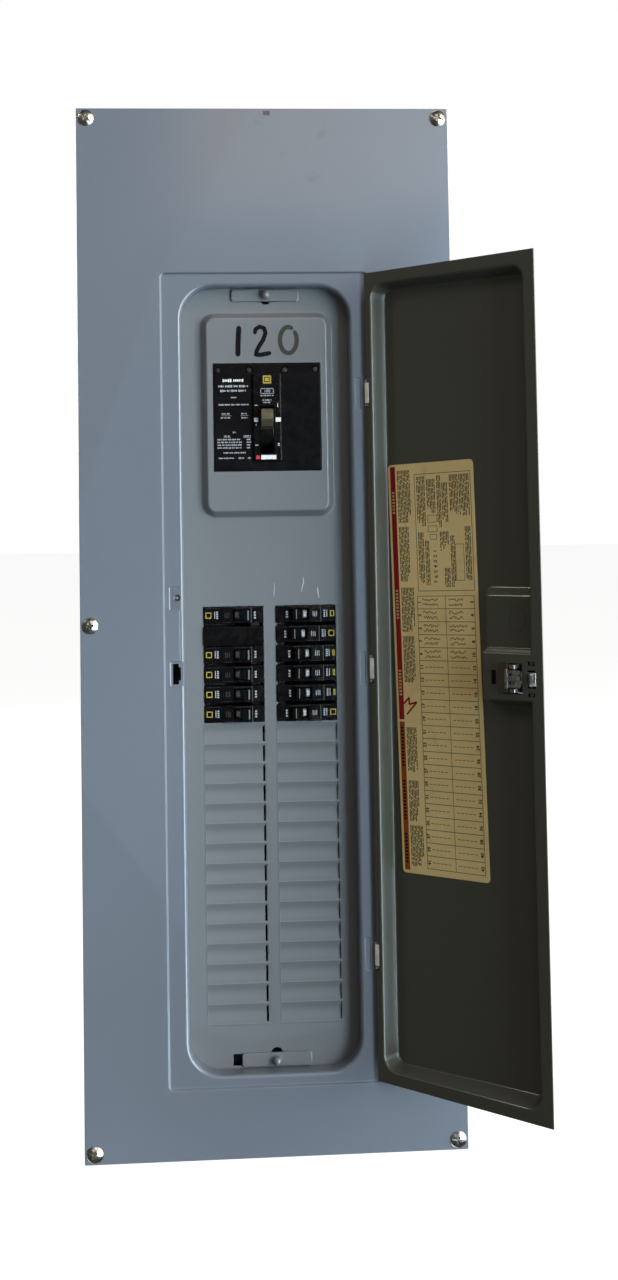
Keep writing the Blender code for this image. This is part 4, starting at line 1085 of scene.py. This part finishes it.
def build_label():
    spots = [((0, 101, 0, 387), 4.0, h) for h in (-0.5, 0.0)]
    bm = stack(bmesh.new(), spots, 8, label_place)
    on_door("directory_label_sheet", bm, "paper", ["directory_label"], "label_paper")
    red, orange, black, pale = bmesh.new(), bmesh.new(), bmesh.new(), bmesh.new()
    rng = random.Random(5)

    def mark(bm, a0, a1, b0, b1, lift=0.05):
        print_bar(bm, a0, a1, b0, b1, 0, label_place, lift)

    def column(a, b0, b1):
        """One line of fine print that runs down the label."""
        b = b0
        while b < b1:
            run = rng.uniform(2.0, 8.5)
            end = min(b1, b + run)
            if end - b > 0.8:
                mark(black, a, a + 0.9, b, end)
            b += run + rng.uniform(0.7, 1.3)

    def frame_lines(a0, a1, b0, b1, w=0.45):
        for area in ((a0, a1, b0, b0 + w), (a0, a1, b1 - w, b1), (a0, a0 + w, b0, b1), (a1 - w, a1, b0, b1)):
            mark(black, *area)

    def number(text, a, b, size, weight):
        place = lambda p, lift, q: label_place(a + p, lift + 0.02, b - q)
        digits(black, text, size, place, 0.04, math.pi / 2, weight)

    split = 245  # where the orange band starts below the red one
    mark(red, 2.6, 8.6, 2.0, split - 2)
    mark(orange, 2.6, 8.6, split, 384)
    for b, b1 in ((26, 48), (120, 146), (196, 219), (250, 286), (300, 336), (350, 378)):
        while b < b1:
            mark(pale if b1 < split else black, 4.0, 6.9, b, b + 1.9, 0.09)
            b += 3.2
    zig = [(8.6, 228), (15.5, 222), (15.0, 228.5), (24.5, 226.0), (12.0, 238)]
    for p, q in zip(zig, zig[1:]):
        d = Vector((q[0] - p[0], q[1] - p[1])).normalized() * 0.9
        side = (-d.y, d.x)
        quad = [(p[0] + side[0], p[1] + side[1]), (q[0] + side[0], q[1] + side[1])]
        quad += [(q[0] - side[0], q[1] - side[1]), (p[0] - side[0], p[1] - side[1])]
        slab(red, quad, -0.05, 0.05, label_place)

    for b0, b1 in ((6, 56), (60, 112), (118, 160), (164, 208), (250, 292), (300, 338), (342, 380)):
        count = rng.choice((7, 8, 9))
        for k in range(count):
            column(11.0 + k * 1.75, b0, b1 - (rng.uniform(0, 14) if k > count - 3 else 0))
    frame_lines(31.5, 97.5, 10.5, 121.5)
    blocks = (
        (34, 44, 13, 60), (46, 56, 16, 48), (58, 62, 13, 62), (64, 70, 20, 58),
        (73, 82, 13, 50), (84, 95, 13, 52), (34, 40, 66, 118), (42, 46, 74, 116),
        (60, 70, 66, 84), (72, 76, 70, 118), (89, 95, 62, 112), (64, 70, 100, 118),
    )
    for a, a1, b0, b1 in blocks:
        while a < a1:
            column(a, b0, b1 - (rng.uniform(0, 8) if rng.random() < 0.4 else 0))
            a += 1.75
    for area in ((46, 57, 50, 57), (46, 57, 60, 66), (48, 56, 68, 73), (77, 87, 78, 112)):
        frame_lines(*area, 0.4)
    for k, text in enumerate("1234567"):
        number(text, 53.5, 84 + k * 4.8, 5.4, 0.08)

    # The directory: 21 rows of two circuits, the first five rows filled in by hand.
    a0, a1, b0, b1 = 29.6, 96.6, 126.0, 381.0
    middle = (a0 + a1) / 2
    tall = (b1 - b0) / POLES
    frame_lines(a0, a1, b0, b1)
    mark(black, middle - 0.2, middle + 0.2, b0, b1)
    for i in range(1, POLES):
        mark(black, a0, a1, b0 + tall * i - 0.24, b0 + tall * i + 0.24)
    for i in range(POLES):
        centre = b0 + tall * (i + 0.5)
        for circuit, a in ((2 * i + 1, a0 + 2.8), (2 * i + 2, a1 - 2.8)):
            number(str(circuit), a, centre, 4.8, 0.14)
        for left in (a0 + 5.5, middle + 2.5):
            if i >= 5:
                for k in range(5):
                    mark(black, left + 1 + k * 4.6, left + 4.4 + k * 4.6, centre - 0.24, centre + 0.24)
                continue
            for row in (-2.4, 2.2):
                path, a = [], left + 1
                while a < left + rng.uniform(17, 24):
                    path.append((a, centre + row + rng.uniform(-1.5, 1.5)))
                    a += rng.uniform(0.5, 1.1)
                if len(path) > 3:
                    stroke(black, path, 0.62, 0, label_place, 0.06)
    for name, bm, mat in (
        ("red_band", red, "red_ink"), ("orange_band", orange, "orange_ink"),
        ("black_print", black, "black_ink"), ("pale_print", pale, "pale_ink"),
    ):
        on_door(f"label_{name}", bm, mat, slot="label_paper", weighted=False)


def build_hinges():
    for where, z in HINGES.items():
        bm = disc(bmesh.new(), (0, 2.7, z), 2.25, 20.0, (0, 0, 1), 28)
        ends = [e for e in bm.edges if abs(e.verts[0].co.z - e.verts[1].co.z) < 1e-6]
        bmesh.ops.bevel(bm, geom=ends, offset=0.4, segments=2, profile=0.5, affect="EDGES")
        box(bm, -0.6, 4.1, -0.15, 1.2, z - 9.7, z + 9.7, 0.35)
        box(bm, 1.4, 4.1, 0.9, 2.9, z - 3.2, z + 9.7, 0.35)
        on_door(f"hinge_knuckle_{where}", bm, "nylon", [f"hinge_clip_{where}"], "nylon")


def build_latch():
    """The latch on the door: housing, spring fork, pull with its legs, hook bolt, bezel and rivets."""
    z = -45.4
    bm = box(bmesh.new(), 153.2, 161.4, -3.4, 1.6, z - 12.6, z + 12.6, 0.7)
    box(bm, 151.0, 154.2, -0.9, -0.2, z - 14.2, z + 14.2, 0.2)
    box(bm, 153.4, 162.0, -4.6, -3.0, z - 9.4, z + 13.2, 0.5)
    on_door("latch_box", bm, "brown", ["latch_housing"], "olive_steel")
    bm = box(bmesh.new(), 160.0, 162.8, -5.9, -4.2, z - 8.6, z + 8.6, 0.4)
    for offset, reach, w in ((6.2, 175.0, 1.4), (0.2, 174.2, 2.2), (-6.2, 175.0, 1.4)):
        leaf = [(161.5, -5.5), (166.0, -6.0), (170.0, -5.4), (reach, -3.4)]
        leaf += [(reach, -2.8), (170.0, -4.8), (166.0, -5.4), (161.5, -4.9)]
        bar(bm, leaf, z + offset - w, z + offset + w, 0.2)
    on_door("latch_spring_fork", bm, "steel", ["latch_spring"], "chrome")

    bm = box(bmesh.new(), 150.4, 177.4, 3.3, 6.2, z - 12.8, z + 12.8, 0.9, 3)
    grip = [(155.4, 6.0), (160.6, 6.0), (159.6, 12.0), (158.8, 13.2), (157.2, 13.2), (156.4, 12.0)]
    bar(bm, grip, z - 11.5, z + 11.5, 0.8)
    for k in range(5):
        c = z - 8 + k * 4
        box(bm, 162.5, 174.5, 5.9, 6.6, c - 0.6, c + 0.6, 0.2)
    on_door("latch_pull", bm, "black", ["latch_handle"], "black_case", "latch")
    bm = bmesh.new()
    leg = [(166.7, 4.0), (166.7, -2.6), (164.6, -3.4), (164.6, -4.4)]
    leg += [(169.4, -4.2), (169.9, -3.0), (169.9, 4.0)]
    for c in (z - 10.6, z + 10.6):
        bar(bm, leg, c - 1.8, c + 1.8, 0.35)
    on_door("latch_pull_legs", bm, "steel", slot="chrome", body="latch")

    bm = box(bmesh.new(), 162.0, 188.2, 1.65, 2.85, z - 6.0, z + 6.0, 0.3)
    hook = [(185.2, 2.2), (185.2, -4.4), (185.9, -5.6), (187.4, -5.9)]
    hook += [(189.8, -3.9), (187.2, -3.5), (187.2, 2.2)]
    for c in (z - 4.6, z + 4.6):
        bar(bm, hook, c - 1.1, c + 1.1, 0.25)
    bar(bm, [(185.2, 2.2), (185.2, -3.4), (186.3, -3.4), (186.3, 2.2)], z - 4.6, z + 4.6, 0.2)
    on_door("latch_hook", bm, "steel", ["latch_bolt"], "chrome", "latch")
    bm = box(bmesh.new(), 178.2, 190.8, 3.1, 3.9, -62.4, -28.4, 0.3)
    box(bm, 139.8, 148.0, 1.25, 2.3, -53.2, -37.0, 0.3)
    for low, high in ((-32.6, -29.2), (-61.6, -58.2)):
        box(bm, 149.0, 178.0, 1.25, 3.05, low, high, 0.3)
    on_door("latch_bezel", bm, "black", slot="black_case")
    bm = bmesh.new()
    for c in (-31.5, -59.3):
        disc(bm, (184.4, 0.9, c), 1.5, 1.6, (0, 1, 0), 16)
    on_door("latch_rivets", bm, "brown", slot="olive_steel")


# ------------------------------------------------------------ CAD nodes that stay
def dress_frame():
    looks = {
        "galvanised": ("enclosure_box", "interior_pan"), "black": ("bus_insulator",),
        "tinned": ("bus_bar_a", "bus_bar_b", "bus_bar_c"),
        "aluminium": ("neutral_bar_left", "neutral_bar_right", "ground_bar", "main_lugs"),
        "steel": [f"hinge_bracket_{where}" for where in HINGES],
    }
    for look, names in looks.items():
        for name in names:
            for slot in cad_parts[name].material_slots:
                slot.material = MATS[look]


# ------------------------------------------------------------ stage, light and camera
def build_stage():
    mat, tree, shader, coord = start_material("floor_white", 0.9)
    tone = ramp(tree, noise(tree, coord, 0.6, 2.0), 0.3, 0.7)
    tree.links.new(mix(tree, tone, (0.20, 0.20, 0.20), (0.23, 0.23, 0.23)), shader.inputs["Base Color"])
    shader.inputs["Emission Color"].default_value = (1, 1, 1, 1)
    shader.inputs["Emission Strength"].default_value = 0.93
    mesh = bpy.data.meshes.new("floor")
    mesh.from_pydata([(x, y, 0) for x, y in corners(-40, 40, -40, 40)], [], [(0, 1, 2, 3)])
    mesh.materials.append(mat)
    floor = add_object("floor", mesh)
    floor.location = (0, 0, -0.5005)
    floor.visible_diffuse = False
    floor.visible_glossy = False


def area_light(name, place, target, size, energy, colour):
    data = bpy.data.lights.new(name, "AREA")
    data.shape = "RECTANGLE"
    data.size, data.size_y = size
    data.energy = energy
    data.color = colour
    obj = add_object(name, data)
    obj.location = place
    obj.rotation_euler = (Vector(target) - Vector(place)).to_track_quat("-Z", "Y").to_euler()


def build_light():
    world = bpy.data.worlds.new("studio")
    bpy.context.scene.world = world
    world.use_nodes = True
    tree = world.node_tree
    rays = add_node(tree, "ShaderNodeLightPath", {}).outputs["Is Camera Ray"]
    light = mix(tree, rays, (0.060, 0.058, 0.051), (1.0, 1.0, 1.0))
    tree.links.new(light, tree.nodes["Background"].inputs["Color"])
    area_light("main", (5.85, -4.2, 2.4), (0, -0.1, 0.0), (5.2, 8.0), 530, (1.0, 0.76, 0.67))
    area_light("key", (2.05, -1.6, 0.85), (0, -0.1, 0.1), (0.8, 0.8), 10, (1.0, 0.78, 0.62))
    area_light("key_low", (1.98, -1.60, -0.50), (0, -0.1, -0.35), (2.6, 2.4), 200, (0.66, 0.88, 0.98))
    area_light("top_strip", (0.2, -3.0, 2.9), (0, -0.1, -0.1), (2.2, 0.6), 17, (1.0, 0.93, 0.90))
    area_light("front_soft", (0.25, -2.1, 1.02), (0, 0, 0.2), (0.7, 0.45), 1.8, (1.0, 0.70, 0.40))
    area_light("left_fill", (-1.15, -2.4, 1.0), (0.1, -0.15, 0.0), (0.6, 0.6), 3.4, (1.0, 0.90, 0.80))
    area_light("left_side", (-2.2, -0.16, 1.8), (0.2, -0.2, 0.0), (0.25, 0.6), 8, (1.0, 0.90, 0.76))
    area_light("back_left", (-1.9, 2.5, 1.0), (0, 0, 0), (1.6, 1.6), 60, (0.96, 0.98, 1.0))
    area_light("back_right", (2.1, 2.3, 0.8), (0, 0, 0), (1.6, 1.6), 60, (1.0, 0.97, 0.94))


def build_camera():
    """The photograph's camera: a pinhole fitted to points on the object, in a 618 x 1280 frame."""
    data = bpy.data.cameras.new("camera")
    data.sensor_fit = "AUTO"
    data.sensor_width = 36
    data.lens = 1626.98 / 1280 * 36
    data.shift_x = 1.94 / 1280
    data.shift_y = -198.95 / 1280
    data.clip_start, data.clip_end = 0.05, 60
    cam = add_object("camera", data)
    pitch, roll, yaw = (math.radians(v) for v in (2.987, 0.934, -4.068))
    turn = Matrix.Rotation(yaw, 4, "Z") @ Matrix.Rotation(pitch, 4, "X") @ Matrix.Rotation(roll, 4, "Y")
    level = Matrix.Rotation(math.pi / 2, 4, "X")
    cam.matrix_world = Matrix.Translation((-0.073142, -1.659024, 0.093372)) @ turn @ level
    bpy.context.scene.camera = cam


build_cover()
build_screws()
build_dead_front()
build_marker_digits()
build_slides()
build_branches()
build_main_case()
build_main_print()
build_main_controls()
build_door()
build_label()
build_hinges()
build_latch()
dress_frame()
build_stage()
build_light()
build_camera()
bpy.context.scene.view_settings.view_transform = "Standard"
